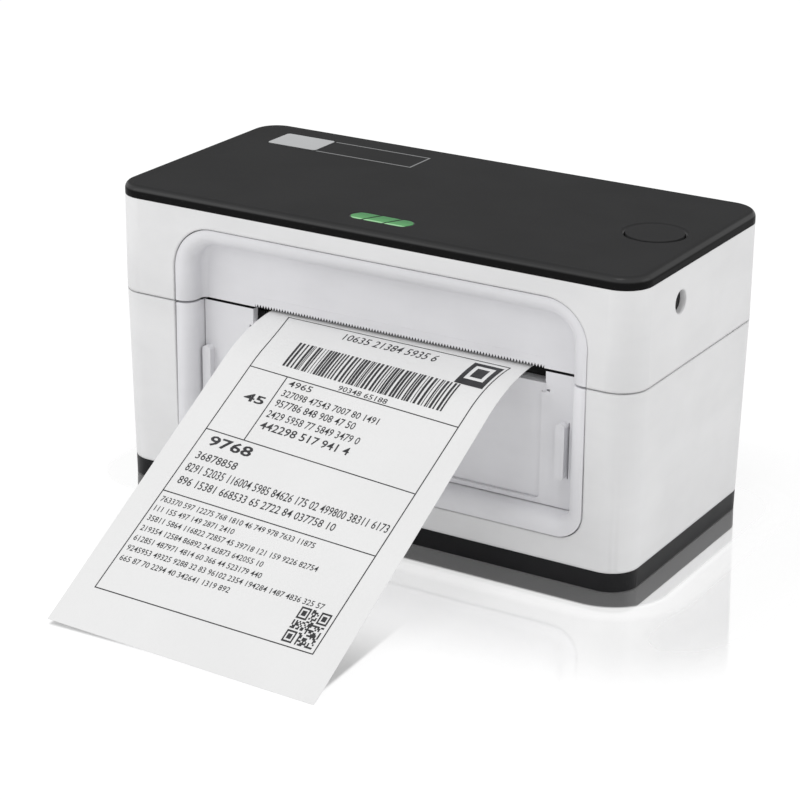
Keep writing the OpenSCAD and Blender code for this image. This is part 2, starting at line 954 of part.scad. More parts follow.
// Media deck under the paper with slots for the guides, a sensor window and the pinion's stub
module media_deck() {
    color([0.2, 0.2, 0.21])
        difference() {
            union() {
                block(deck_x0, deck_front, deck_z, deck_x1 - deck_x0, deck_rear - deck_front, deck_t);
                translate([paper_x, guide_y, rack_z - stub_end])
                    cylinder(h = deck_z - rack_z + stub_end + root, r = stud_r);
            }
            guide_slot(guide_y - stem_y);
            mirror_about_paper()
                guide_slot(guide_y + stem_y);
            block(paper_x - sensor_w / 2, sensor_y, deck_z - cut, sensor_w, sensor_d, deck_t + 2 * cut);
            translate([paper_x, guide_y, rack_z - stub_end - cut])
                cylinder(h = pinion_screw_len + cut, r = pinion_screw_r);
        }
}

// Slot that a guide's stem runs in
module guide_slot(y) {
    block(stem_x - 2 * air, y - stem_w / 2 - air, deck_z - cut, guide_travel + stem_w + 4 * air,
          stem_w + 2 * air, deck_t + 2 * cut);
}

// Mirrors a shape about the paper's centre line
module mirror_about_paper() {
    translate([2 * paper_x, 0, 0])
        mirror([1, 0, 0])
            children();
}

module gap_sensor() {
    color([0.1, 0.1, 0.12]) {
        block(paper_x - sensor_w / 2, sensor_y, deck_z - root, sensor_w, sensor_d, deck_t + root - seat);
        block(paper_x - sensor_w / 2 - sensor_edge, sensor_y, deck_z - sensor_h, sensor_w + 2 * sensor_edge,
              sensor_d + sensor_edge, sensor_h);
    }
}

module platen_bushes() {
    color([0.82, 0.7, 0.4])
        difference() {
            union() {
                rod_x(plate_x0, platen_y, platen_z, bush_r, plate_t);
                rod_x(plate_x0 - bush_flange_t, platen_y, platen_z, bush_flange_r, bush_flange_t);
                rod_x(plate_x1, platen_y, platen_z, bush_r, plate_t);
                rod_x(plate_x1 + plate_t, platen_y, platen_z, bush_flange_r, bush_flange_t);
            }
            rod_x(gear_a_x, platen_y, platen_z, shaft_r + run_fit, plate_x1 + shaft_end - gear_a_x);
        }
}

module platen_shaft() {
    x0 = gear_a_x - root;
    x1 = plate_x1 + plate_t + shaft_end;
    color([0.75, 0.76, 0.78])
        rod_x(x0, platen_y, platen_z, shaft_r, x1 - x0);
}

module platen_roller() {
    color([0.07, 0.07, 0.07])
        difference() {
            rod_x(platen_x0, platen_y, platen_z, platen_r, platen_len);
            rod_x(platen_x0 - cut, platen_y, platen_z, shaft_r, platen_len + 2 * cut);
        }
}

module platen_gear() {
    color([0.88, 0.88, 0.84])
        difference() {
            drive_gear(gear_a_x, platen_y, platen_z, platen_teeth, idler_turn, gear_w);
            rod_x(gear_a_x - cut, platen_y, platen_z, shaft_r, gear_w + 2 * cut);
        }
}

module idler_stud() {
    x0 = gear_b_x - stud_head_t;
    color([0.75, 0.76, 0.78]) {
        rod_x(x0, idler_y, idler_z, stud_r, plate_x0 + plate_t - x0);
        rod_x(x0 - stud_head_t, idler_y, idler_z, 1.5 * stud_r, stud_head_t);
    }
}

// Compound gear: the small gear meets the platen gear, the large one the motor pinion
module idler_gear() {
    small_turn = idler_turn + 180 + 180 / idler_small;
    color([0.88, 0.88, 0.84])
        difference() {
            union() {
                drive_gear(gear_a_x - gear_gap, idler_y, idler_z, idler_small, small_turn,
                           gear_w + gear_gap);
                drive_gear(gear_b_x, idler_y, idler_z, idler_large, motor_turn, gear_w);
            }
            rod_x(gear_b_x - cut, idler_y, idler_z, stud_r + run_fit, 2 * gear_w + gear_gap + 2 * cut);
        }
}

module drive_motor() {
    x0 = plate_x0 + plate_t;
    plug_z = motor_z - motor_r - motor_plug.z / 3;
    color([0.7, 0.71, 0.73])
        difference() {
            union() {
                rod_x(x0, motor_y, motor_z, motor_r, motor_len);
                rod_x(x0 + ear_t, motor_y, motor_z, motor_r + motor_bead, 2 * motor_bead);
                rod_x(plate_x0, motor_y, motor_z, motor_boss_r, plate_t + root);
                along_x(x0, ear_t) {
                    for (y = [motor_y - motor_ear, motor_y + motor_ear])
                        translate([y, motor_z])
                            circle(ear_r);
                    translate([motor_y - motor_ear, motor_z - ear_r])
                        square([2 * motor_ear, 2 * ear_r]);
                }
                block(x0 + motor_plug.x / 2, motor_y - motor_plug.y / 2, plug_z, motor_plug.x, motor_plug.y,
                      motor_plug.z);
            }
            rod_x(plate_x0 - cut, motor_y, motor_z, spindle_r + run_fit, plate_t + spindle_in + 2 * cut);
            for (y = [motor_y - motor_ear, motor_y + motor_ear])
                rod_x(x0 - cut, y, motor_z, screw_hole_r, ear_t + 2 * cut);
        }
}

module motor_screws() {
    color([0.6, 0.6, 0.62])
        for (y = [motor_y - motor_ear, motor_y + motor_ear])
            translate([plate_x0, y, motor_z])
                rotate([0, 90, 0])
                    screw_up(0, 0, 0, motor_screw_len);
}

module motor_shaft() {
    x0 = gear_b_x - root;
    color([0.75, 0.76, 0.78])
        rod_x(x0, motor_y, motor_z, spindle_r, plate_x0 + plate_t + spindle_in - x0);
}

module motor_pinion() {
    turn = motor_turn + 180 + 180 / pinion_teeth;
    color([0.82, 0.7, 0.4])
        difference() {
            drive_gear(gear_b_x, motor_y, motor_z, pinion_teeth, turn, gear_w + gear_gap / 2);
            rod_x(gear_b_x - cut, motor_y, motor_z, spindle_r, gear_w + gear_gap + 2 * cut);
        }
}

// Left media guide: edge wall and foot on the deck, stem through the slot and rack below
module guide_left() {
    wall_x = label_x0 - air;
    foot_z = deck_top + seat;
    rack_teeth = floor((rack_end - stem_x - stem_w - 2) / (PI * gear_m));
    color([0.24, 0.42, 0.62]) {
        block(wall_x - guide_wall_t, guide_y0, foot_z, guide_wall_t, guide_len, guide_wall_h);
        block(wall_x - guide_foot_w, guide_y0, foot_z, guide_foot_w, guide_len, guide_foot_t);
        block(stem_x, guide_y - stem_y - stem_w / 2, rack_z, stem_w, stem_w, foot_z + root - rack_z);
        translate([0, guide_y - rack_line, rack_z])
            linear_extrude(rack_h)
                rack_outline(stem_x, rack_end, rack_teeth);
    }
}

// Rack with its teeth towards +Y and one gap centred on the paper's centre line
module rack_outline(x0, x1, teeth) {
    p = PI * gear_m;
    low = -gear_root * gear_m;
    high = gear_tip * gear_m;
    translate([x0, low - rack_w])
        square([x1 - x0, rack_w]);
    for (i = [0 : teeth - 1])
        translate([paper_x + (2.5 - i) * p, 0])
            polygon([
                [-root_share * p, low],
                [-tip_share * p, high],
                [tip_share * p, high],
                [root_share * p, low]
            ]);
}

// Right media guide: the left one turned half a turn about the pinion
module guide_right() {
    color([0.24, 0.42, 0.62])
        translate([paper_x, guide_y, 0])
            rotate([0, 0, 180])
                translate([-paper_x, -guide_y, 0])
                    guide_left();
}

module guide_pinion() {
    color([0.88, 0.88, 0.84])
        translate([paper_x, guide_y, rack_z])
            difference() {
                rotate([0, 0, 90])
                    linear_extrude(rack_h)
                        polygon(gear_outline(guide_teeth));
                translate([0, 0, -cut])
                    cylinder(h = rack_h + 2 * cut, r = stud_r + run_fit);
            }
}

module pinion_screw() {
    color([0.6, 0.6, 0.62])
        translate([paper_x, guide_y, rack_z - stub_end]) {
            translate([0, 0, -washer_t])
                cylinder(h = washer_t, r = washer_r);
            cylinder(h = pinion_screw_len, r = pinion_screw_r);
        }
}

// Main board with its larger components
module main_board() {
    part_z = board_top - root;
    chip_x = paper_x - processor.x / 2;
    color([0.1, 0.35, 0.2])
        difference() {
            union() {
                block(board_x0, board_y0, board_z, board_w, board_d, board_t);
                translate([chip_x, board_y0 + board_rear_edge, part_z])
                    cube(processor + [0, 0, root]);
                translate([chip_x + 1.6 * processor.x, board_y0 + 2 * board_edge, part_z])
                    cube(driver_chip + [0, 0, root]);
                translate([board_x0 + 2 * board_edge, board_y0, part_z])
                    cube(head_plug + [0, 0, root]);
                for (i = [1 : 3])
                    translate([board_x0 + board_w - 3 * board_edge, board_y0 + i * capacitor_pitch, part_z])
                        cylinder(h = capacitor_h + root, r = capacitor_r);
            }
            board_points()
                translate([0, 0, board_z - cut])
                    cylinder(h = board_t + 2 * cut, r = screw_hole_r);
        }
}

module board_screws() {
    color([0.6, 0.6, 0.62])
        board_points()
            screw_down(0, 0, board_top, board_screw_len);
}

// Square data socket with its tongue
module usb_port() {
    bore_z = board_top + (usb_h - usb_bore.y) / 2;
    color([0.78, 0.79, 0.8])
        difference() {
            block(usb_x - usb_w / 2, rear_panel_y - usb_len, board_top, usb_w, usb_len, usb_h);
            difference() {
                along_y(rear_panel_y - usb_bore.z, usb_bore.z + cut)
                    translate([usb_x - usb_bore.x / 2, bore_z])
                        polygon([
                            [0, 0],
                            [usb_bore.x, 0],
                            [usb_bore.x, usb_bore.y - usb_bevel.y],
                            [usb_bore.x - usb_bevel.x, usb_bore.y],
                            [usb_bevel.x, usb_bore.y],
                            [0, usb_bore.y - usb_bevel.y]
                        ]);
                translate([usb_x - usb_tongue.x / 2, rear_panel_y - usb_bore.z - root,
                           bore_z + usb_bevel.x])
                    cube(usb_tongue);
            }
        }
}

// Round power inlet with its centre pin
module dc_jack() {
    bore_z = board_top + inlet_h / 2;
    bore_y = rear_panel_y - inlet_bore_len;
    color([0.08, 0.08, 0.09])
        difference() {
            block(inlet_x - inlet_w / 2, rear_panel_y - inlet_len, board_top, inlet_w, inlet_len, inlet_h);
            difference() {
                rod_y(inlet_x, bore_y, bore_z, inlet_bore_r, inlet_bore_len + cut);
                rod_y(inlet_x, bore_y - root, bore_z, inlet_pin_r, inlet_bore_len);
            }
        }
}

module switch_frame() {
    well_w = rocker_w + 2 * air;
    well_h = rocker_h + 2 * air;
    color([0.08, 0.08, 0.09])
        difference() {
            union() {
                along_y(rear_panel_y, switch_rim_t)
                    translate([switch_x, switch_z])
                        rounded_rect(switch_w, switch_h, 1);
                block(switch_x - switch_body_w / 2, rear_panel_y - switch_len, switch_z - switch_body_h / 2,
                      switch_body_w, switch_len, switch_body_h);
            }
            block(switch_x - well_w / 2, rear_panel_y - rocker_h / 2, switch_z - well_h / 2,
                  well_w, rocker_h, well_h);
            rod_x(switch_x - switch_body_w / 2 - cut, rear_panel_y - rocker_in, switch_z, trunnion_r,
                  switch_body_w + 2 * cut);
        }
}

// Rocker of the power switch on its trunnions
module power_rocker() {
    half = rocker_h / 2;
    trunnion_len = switch_body_w - 2 * seat;
    color([0.1, 0.1, 0.11])
        translate([switch_x, rear_panel_y - rocker_in, switch_z])
            rotate([-rocker_tilt, 0, 0]) {
                intersection() {
                    along_x(-rocker_w / 2, rocker_w)
                        rocker_outline(half);
                    rod_x(-rocker_w, 0, 0, half, 2 * rocker_w);
                }
                rod_x(-trunnion_len / 2, 0, 0, trunnion_r - run_fit, trunnion_len);
            }
}

// Side view of the rocker, drawn as (Y, Z): two faces that meet in a shallow valley
module rocker_outline(half) {
    valley = 0.52 * half;
    crest = 0.7 * half;
    shoulder = 0.42 * half;
    heel = 0.38 * half;
    polygon([
        [-heel, -0.62 * half],
        [shoulder, -half],
        [crest, -0.92 * half],
        [valley, 0],
        [crest, 0.92 * half],
        [shoulder, half],
        [-heel, 0.62 * half]
    ]);
}

module hinge_pins() {
    length = arm_w + 2 * air + 2 * lug_t;
    color([0.75, 0.76, 0.78])
        both_sides()
            rod_x(hinge_x - length / 2, hinge_y, hinge_z, pin_r, length);
}

module catch_bars() {
    length = lever_w + 2 * catch_lug_gap + 2 * catch_lug_t;
    color([0.75, 0.76, 0.78])
        both_sides()
            rod_y(catch_x, release_y - length / 2, catch_z, catch_r, length);
}

// Upper housing: shell with its ceiling, the front opening, the rear slot, hinge arms and latch lugs
module upper_housing() {
    lug_y = lever_w / 2 + latch_lug_gap;
    color([0.93, 0.93, 0.94])
        difference() {
            union() {
                difference() {
                    translate([0, 0, upper_bottom])
                        linear_extrude(housing_top - upper_bottom)
                            rounded_rect(body_w, body_d, corner_r);
                    translate([0, 0, upper_bottom - cut])
                        linear_extrude(ceiling_z - upper_bottom + cut)
                            rounded_rect(inner_w, inner_d, inner_r);
                }
                both_sides()
                    along_x(hinge_x - arm_w / 2, arm_w) {
                        translate([hinge_y, hinge_z])
                            circle(hinge_inset);
                        translate([hinge_y - hinge_inset, hinge_z])
                            square([2 * hinge_inset, arm_top - hinge_z]);
                    }
                both_sides()
                    for (y = [release_y - lug_y - catch_lug_t, release_y + lug_y])
                        block(lever_x - latch_pin_r, y, lever_pivot_z - catch_lug_h / 2,
                              half_w - shell_t - lever_x + latch_pin_r + root, catch_lug_t, catch_lug_h);
                liner_points()
                    hanging_post(liner_z + liner_t, post_r);
                mount_points()
                    hanging_post(head_mount_z + head_mount_t, post_r);
                panel_points()
                    hanging_post(panel_board_z + board_t, panel_post_r);
            }
            along_y(front_y - cut, shell_t + 2 * cut)
                arch(trim_x0 - groove, trim_x1 + groove, upper_bottom - cut, trim_top + groove,
                     trim_top_r + groove);
            block(slot_x0, half_d - shell_t - cut, upper_bottom - cut, slot_w, shell_t + 2 * cut,
                  entry_h + cut);
            both_sides()
                rod_x(hinge_x - arm_w, hinge_y, hinge_z, pin_r + run_fit, 2 * arm_w);
            both_sides()
                rod_y(lever_x + lever_t / 2, release_y - lever_w, lever_pivot_z, latch_pin_r, 2 * lever_w);
            both_sides()
                rod_x(half_w - shell_t - cut, release_y, release_z, release_hole_r, shell_t + 2 * cut);
            liner_points()
                translate([0, 0, liner_z])
                    cylinder(h = liner_screw_len + cut, r = screw_r);
            translate([feed_x, feed_y, ceiling_z - cut])
                cylinder(h = ceiling_t + 2 * cut, r = feed_stem_r + 2);
            translate([0, led_y, ceiling_z - cut])
                linear_extrude(ceiling_t + 2 * cut)
                    rounded_rect(led_len - 2 * led_seat, led_w - 2 * led_seat,
                                 led_w / 2 - led_seat - lip_gap);
        }
}

// A post that hangs from the cover's ceiling down to height z
module hanging_post(z, r) {
    translate([0, 0, z])
        cylinder(h = ceiling_z - z + root, r = r);
}

// Places of the posts that carry the cover liner
module liner_points() {
    for (x = [slot_x0 + liner_edge_x, slot_x1 - liner_edge_x])
        for (y = [liner_front + liner_edge_y, liner_rear - liner_edge_y])
            translate([x, y, 0])
                children();
}

// Places of the posts that carry the print head's mount
module mount_points() {
    for (x = [paper_x - head_len / 2 + mount_edge, paper_x + head_len / 2 - mount_edge])
        translate([x, platen_y, 0])
            children();
}

// Places of the posts that carry the panel board
module panel_points() {
    for (x = [led_len / 2 + panel_edge / 2, feed_x - 2 * feed_stem_r])
        translate([x, led_y + panel_edge / 4, 0])
            children();
    translate([feed_x - feed_stem_r, feed_y + panel_edge + panel_post_r, 0])
        children();
}

// Dark top panel with its rolled edge, the button well and the pockets of the window and the badge
module top_panel() {
    flat_w = body_w - 2 * corner_r;
    flat_d = body_d - 2 * corner_r;
    color([0.15, 0.15, 0.16])
        difference() {
            translate([0, 0, housing_top]) {
                translate([-flat_w / 2, -flat_d / 2, 0])
                    cube([flat_w, flat_d, lid_t]);
                for (turn = [0, 180])
                    rotate([0, 0, turn]) {
                        translate([flat_w / 2, flat_d / 2, 0])
                            rotate([90, 0, 0])
                                linear_extrude(flat_d)
                                    rolled_edge(corner_r, lid_t, lid_edge_r);
                        translate([-flat_w / 2, flat_d / 2, 0])
                            rotate([90, 0, 90])
                                linear_extrude(flat_w)
                                    rolled_edge(corner_r, lid_t, lid_edge_r);
                        translate([flat_w / 2, flat_d / 2, 0])
                            rotate_extrude(angle = 90)
                                rolled_edge(corner_r, lid_t, lid_edge_r);
                        translate([-flat_w / 2, flat_d / 2, 0])
                            rotate([0, 0, 90])
                                rotate_extrude(angle = 90)
                                    rolled_edge(corner_r, lid_t, lid_edge_r);
                    }
            }
            translate([feed_x, feed_y, housing_top - cut])
                cylinder(h = lid_t + 2 * cut, r = feed_r + air);
            translate([feed_x, feed_y, housing_top - cut])
                cylinder(h = feed_travel + 2 * air + feed_flange_t + cut, r = feed_flange_r + air);
            translate([feed_x, feed_y, lid_top - well_bevel.y])
                cylinder(h = well_bevel.y, r1 = feed_r + air, r2 = feed_r + air + well_bevel.x);
            translate([0, led_y, housing_top - cut])
                linear_extrude(lid_t + 2 * cut)
                    rounded_rect(led_len, led_w, led_w / 2 - lip_gap);
            translate([badge_x, badge_y, lid_top - badge_sunk]) {
                badge_plate_form(cut);
                badge_frame_form(cut);
            }
        }
}

// Bare badge plate, drawn from its low left corner
module badge_plate_form(h) {
    linear_extrude(h)
        translate([badge_w / 2, badge_d / 2])
            rounded_rect(badge_w, badge_d, badge_r);
}

// Narrow inlaid line that runs on from the badge plate
module badge_frame_form(h) {
    linear_extrude(h)
        difference() {
            translate([badge_w + air, 0])
                square([badge_frame_w - badge_w - air, badge_d]);
            translate([badge_w - cut, badge_line])
                square([badge_frame_w - badge_w + cut - badge_line, badge_d - 2 * badge_line]);
        }
}

module badge_plate() {
    color([0.75, 0.76, 0.78])
        translate([badge_x, badge_y, lid_top - badge_sunk])
            badge_plate_form(badge_t);
}

module badge_frame() {
    color([0.5, 0.5, 0.52])
        translate([badge_x, badge_y, lid_top - badge_sunk])
            badge_frame_form(badge_t - lip_gap);
}

// Upper half of the front trim with the recess face and its soft corner
module upper_bezel() {
    color([0.9, 0.9, 0.92])
        difference() {
            union() {
                translate([0, 0, upper_bottom])
                    half_frame(trim_top - upper_bottom, trim_top_r) {
                        rim_section();
                        fillet_section();
                    }
                along_y(recess_y, face_t)
                    arch(recess_x0 - root, recess_x1 + root, upper_bottom, recess_z1 + root,
                         trim_top_r - rim_w + root);
            }
            block(tear_x0, recess_y - cut, upper_bottom - cut, tear_w, tear_t + cut, tear_h + cut);
            block(tear_x0, recess_y - cut, upper_bottom - cut, tear_w, tear_t + tooth_relief + cut,
                  tooth_h + air + cut);
        }
}

// Toothed tear bar let into the lower edge of the upper bezel
module tear_bar() {
    count = floor(tear_w / tooth_pitch);
    pitch = tear_w / count;
    root_z = upper_bottom + tooth_h;
    color([0.86, 0.86, 0.88])
        along_y(recess_y, tear_t)
            polygon(concat(
                [[tear_x0 + tear_w, upper_bottom + tear_h], [tear_x0, upper_bottom + tear_h]],
                [for (i = [0 : 2 * count]) [tear_x0 + i * pitch / 2, root_z - (i % 2) * tooth_h]]
            ));
}

// Feed button with its skirt and the stem over the panel board's switch
module feed_button() {
    low = housing_top + feed_travel + air;
    color([0.14, 0.14, 0.15])
        translate([feed_x, feed_y, 0]) {
            translate([0, 0, low])
                cylinder(h = lid_top - low, r = feed_r);
            translate([0, 0, low])
                cylinder(h = feed_flange_t, r = feed_flange_r);
            translate([0, 0, ceiling_z])
                cylinder(h = low - ceiling_z + root, r = feed_stem_r);
        }
}

// Dark frame of the status window with its slanted bars
module led_window() {
    color([0.06, 0.06, 0.07])
        translate([0, led_y, 0])
            difference() {
                translate([0, 0, housing_top])
                    linear_extrude(lid_t - lip_gap / 2)
                        rounded_rect(led_len, led_w, led_w / 2 - lip_gap);
                translate([0, 0, housing_top - cut])
                    linear_extrude(lid_t + 2 * cut)
                        lens_outline();
            }
}

// The three lens openings: the window less its rim and two slanted bars
module lens_outline() {
    half = led_len / 6 - led_bar / 2;
    intersection() {
        rounded_rect(led_len - 2 * led_rim, led_w - 2 * led_rim, led_w / 2 - led_rim - lip_gap);
        for (i = [-1, 0, 1])
            translate([i * led_len / 3, 0])
                polygon([
                    [-half - led_slant, -led_w / 2],
                    [half - led_slant, -led_w / 2],
                    [half + led_slant, led_w / 2],
                    [-half + led_slant, led_w / 2]
                ]);
    }
}

module led_lenses() {
    color([0.3, 0.75, 0.4])
        translate([0, led_y, housing_top])
            linear_extrude(lid_t)
                lens_outline();
}

// Board behind the top panel with the feed switch and the status lights
module panel_board() {
    part_z = panel_board_z + board_t - root;
    board_x = -led_len / 2 - led_seat;
    board_y = led_y - panel_edge / 3;
    color([0.1, 0.35, 0.2]) {
        block(board_x, board_y, panel_board_z, feed_x + panel_edge - board_x, panel_board_d, board_t);
        block(feed_x - panel_edge, board_y, panel_board_z,
              2 * panel_edge, feed_y + 1.6 * panel_edge - board_y, board_t);
        translate([feed_x - button_switch.x / 2, feed_y - button_switch.y / 2, part_z])
            cube(button_switch + [0, 0, root]);
        for (i = [-1, 0, 1])
            translate([i * led_len / 3 - status_light.x / 2, led_y - status_light.y / 2, part_z])
                cube(status_light + [0, 0, root]);
    }
}

// Liner that closes the cover above the paper
module cover_liner() {
    length = liner_rear - liner_front;
    color([0.2, 0.2, 0.21])
        difference() {
            union() {
                block(slot_x0, liner_front, liner_z, slot_w, length, liner_t);
                for (i = [-liner_rib_side : liner_rib_side])
                    block(paper_x + i * liner_rib_pitch - liner_rib_w / 2, liner_front + rib_t,
                          liner_z - liner_rib_h, liner_rib_w, length - 2 * rib_t, liner_rib_h + root);
            }
            liner_points()
                translate([0, 0, liner_z - 2 * cut])
                    cylinder(h = liner_t + 4 * cut, r = screw_hole_r);
        }
}

module liner_screws() {
    color([0.6, 0.6, 0.62])
        liner_points()
            screw_up(0, 0, liner_z, liner_screw_len);
}

// Mount above the print head with the two pins that guide it
module head_mount() {
    color([0.66, 0.67, 0.69]) {
        block(paper_x - head_len / 2, platen_y - head_w / 2, head_mount_z, head_len, head_w, head_mount_t);
        for (s = [-1, 1])
            translate([paper_x + s * head_pin_x, platen_y, head_pin_z])
                cylinder(h = head_mount_z - head_pin_z + root, r = head_pin_r);
    }
}

// Coil springs round the guide pins
module head_springs() {
    length = head_mount_z - head_top;
    steps = 16 * spring_turns;
    color([0.75, 0.76, 0.78])
        for (s = [-1, 1])
            translate([paper_x + s * head_pin_x, platen_y, head_top])
                linear_extrude(length, twist = -360 * spring_turns, slices = steps, $fn = 8)
                    translate([spring_r, 0])
                        circle(spring_wire);
}

// Finned heatsink that carries the heater strip
module head_heatsink() {
    color([0.78, 0.79, 0.8])
        difference() {
            block(paper_x - head_len / 2, platen_y - head_w / 2, head_z, head_len, head_w, head_t);
            for (i = [-fin_side : fin_side])
                block(paper_x - head_len / 2 + fin_end, platen_y + i * fin_pitch - fin_gap / 2, fin_z,
                      head_len - 2 * fin_end, fin_gap, head_t);
            for (s = [-1, 1])
                translate([paper_x + s * head_pin_x, platen_y, head_z - cut])
                    cylinder(h = head_t + 2 * cut, r = head_pin_r + run_fit);
        }
}

module head_strip() {
    color([0.35, 0.28, 0.24])
        block(platen_x0, platen_y - head_strip_w / 2, head_strip_z, platen_len, head_strip_w, head_strip_t);
}

// Release button for the right side: recessed cap, retaining flange and stem
module release_button() {
    cap_r = release_hole_r - seat;
    inner_x = half_w - shell_t;
    stem_x0 = lever_x + lever_t + release_gap;
    flange_x = inner_x - seat - release_flange_t;
    color([0.12, 0.12, 0.13]) {
        rod_x(stem_x0, release_y, release_z, release_stem_r, flange_x - stem_x0 + root);
        rod_x(flange_x, release_y, release_z, cap_r + release_flange, release_flange_t);
        rod_x(flange_x, release_y, release_z, cap_r, half_w - release_recess - flange_x);
    }
}

module release_button_right() {
    release_button();
}

module release_button_left() {
    mirror([1, 0, 0])
        release_button();
}

// Latch lever for the right side: pushed at its upper end, hooked at its lower end
module latch() {
    hook_x = catch_x + catch_r + seat;
    color([0.2, 0.2, 0.21])
        difference() {
            along_y(release_y - lever_w / 2, lever_w) {
                translate([lever_x, nose_z - nose_t])
                    square([lever_t, release_z + release_stem_r - nose_z + nose_t]);
                translate([lever_x + lever_t / 2, lever_pivot_z])
                    circle(lever_t);
                polygon([
                    [lever_x + root, nose_z],
                    [hook_x, nose_z],
                    [hook_x + root, nose_z - nose_t],
                    [lever_x + root, nose_z - nose_t]
                ]);
            }
            rod_y(lever_x + lever_t / 2, release_y - lever_w, lever_pivot_z, latch_pin_r + run_fit,
                  2 * lever_w);
        }
}

module latch_right() {
    latch();
}

module latch_left() {
    mirror([1, 0, 0])
        latch();
}

module latch_pins() {
    length = lever_w + 2 * latch_lug_gap + 2 * catch_lug_t;
    color([0.75, 0.76, 0.78])
        both_sides()
            rod_y(lever_x + lever_t / 2, release_y - length / 2, lever_pivot_z, latch_pin_r, length);
}

// Outline of the label's edge as (Y, Z): level tail, bend and straight hang, r from the bend's centre
function label_edge(r) = [
    [recess_y + label_tail, path_z - label_bend_r + r],
    for (i = [0 : bend_steps])
        let (a = label_slope * i / bend_steps)
        [bend_y - r * sin(a), path_z - label_bend_r + r * cos(a)],
    [bend_y - r * sin(label_slope) - label_hang * cos(label_slope),
     path_z - label_bend_r + r * cos(label_slope) - label_hang * sin(label_slope)]
];

// Reverses a list of points
function backwards(points) = [for (i = [len(points) - 1 : -1 : 0]) points[i]];

// Printed label: level through the nip, bent on its way through the slot, then straight to the table
module label_sheet() {
    color([0.97, 0.97, 0.97])
        along_x(label_x0, label_w)
            polygon(concat(label_edge(label_bend_r + label_t), backwards(label_edge(label_bend_r))));
}

base_tray();
foot_ring();
base_screws();
lower_housing();
lower_bezel();
lower_panel();
chassis();
chassis_screws();
media_deck();
gap_sensor();
platen_bushes();
platen_shaft();
platen_roller();
platen_gear();
idler_stud();
idler_gear();
drive_motor();
motor_screws();
motor_shaft();
motor_pinion();
guide_left();
guide_right();
guide_pinion();
pinion_screw();
main_board();
board_screws();
usb_port();
dc_jack();
switch_frame();
power_rocker();
hinge_pins();
catch_bars();
upper_housing();
top_panel();
upper_bezel();
tear_bar();
feed_button();
led_window();
led_lenses();
badge_plate();
badge_frame();
panel_board();
cover_liner();
liner_screws();
head_mount();
head_springs();
head_heatsink();
head_strip();
release_button_left();
release_button_right();
latch_left();
latch_right();
latch_pins();
label_sheet();
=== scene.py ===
"""Finishes, printed label and studio for a desktop label printer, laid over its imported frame."""
import json
import math

import bpy
import numpy as np
from bpy.props import FloatProperty, FloatVectorProperty, IntProperty, PointerProperty
from mathutils import Matrix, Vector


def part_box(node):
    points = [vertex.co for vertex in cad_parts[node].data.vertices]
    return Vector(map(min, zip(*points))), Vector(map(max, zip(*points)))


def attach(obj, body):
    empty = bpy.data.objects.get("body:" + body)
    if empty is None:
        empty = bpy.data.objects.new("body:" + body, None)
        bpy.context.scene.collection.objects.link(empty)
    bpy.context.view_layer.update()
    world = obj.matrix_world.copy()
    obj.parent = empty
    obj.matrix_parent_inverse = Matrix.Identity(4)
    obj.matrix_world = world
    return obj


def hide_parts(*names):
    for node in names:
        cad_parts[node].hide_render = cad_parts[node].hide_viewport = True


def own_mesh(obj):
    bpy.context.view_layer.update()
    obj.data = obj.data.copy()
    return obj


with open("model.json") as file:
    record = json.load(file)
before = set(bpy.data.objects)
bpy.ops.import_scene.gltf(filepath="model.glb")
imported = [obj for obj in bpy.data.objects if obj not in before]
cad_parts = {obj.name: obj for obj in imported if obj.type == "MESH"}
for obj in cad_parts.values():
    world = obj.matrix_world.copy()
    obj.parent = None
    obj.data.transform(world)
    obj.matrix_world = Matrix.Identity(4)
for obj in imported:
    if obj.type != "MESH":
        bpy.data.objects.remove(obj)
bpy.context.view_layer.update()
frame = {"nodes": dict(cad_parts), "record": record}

bl_info = {
    "name": "Label Printer Looks",
    "version": (1, 0, 0),
    "blender": (4, 5, 0),
    "location": "View3D > Sidebar > Printer",
    "description": "Moulded, metal, rubber and paper finishes, a printed label and a studio",
    "category": "Material",
}

LABEL_LOW, LABEL_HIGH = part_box("label_sheet")
LABEL_WIDTH = LABEL_HIGH.x - LABEL_LOW.x
SLOT_FACE_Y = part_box("tear_bar")[0].y
MM = 0.001
WIDE = 0.2                          # past the part on every side
HAIR = 0.00003                      # keeps a box of painted shade off the face that it starts from
SEAM_Y = -0.0435                    # the seams of the front are painted dark behind this plane, as shade in the gaps
PAINTED_GAP_SHADE = (0.012, 0.012, 0.012)   # painted shade of the gaps, this dark
HEATER_Y = -0.026                   # the heater line of the print head
LENS_RIM_Y = (-0.0412, -0.0402)     # the painted highlight on the lenses' front rim fades out over this
LENS_CORE_Y = (-0.0400, -0.0350)    # and the glow behind the rim over this


def colour(name, text, default):
    """A colour property whose default is linear red, green and blue."""
    return FloatVectorProperty(name=name, description=text, subtype="COLOR", size=3,
                               min=0.0, max=1.0, default=default)


def length(name, text, default):
    """A length property in metres."""
    return FloatProperty(name=name, description=text, subtype="DISTANCE", unit="LENGTH",
                         default=default, precision=5)


def turn(name, text, degrees):
    """An angle property whose default is given in degrees."""
    return FloatProperty(name=name, description=text, subtype="ANGLE", unit="ROTATION",
                         default=math.radians(degrees))


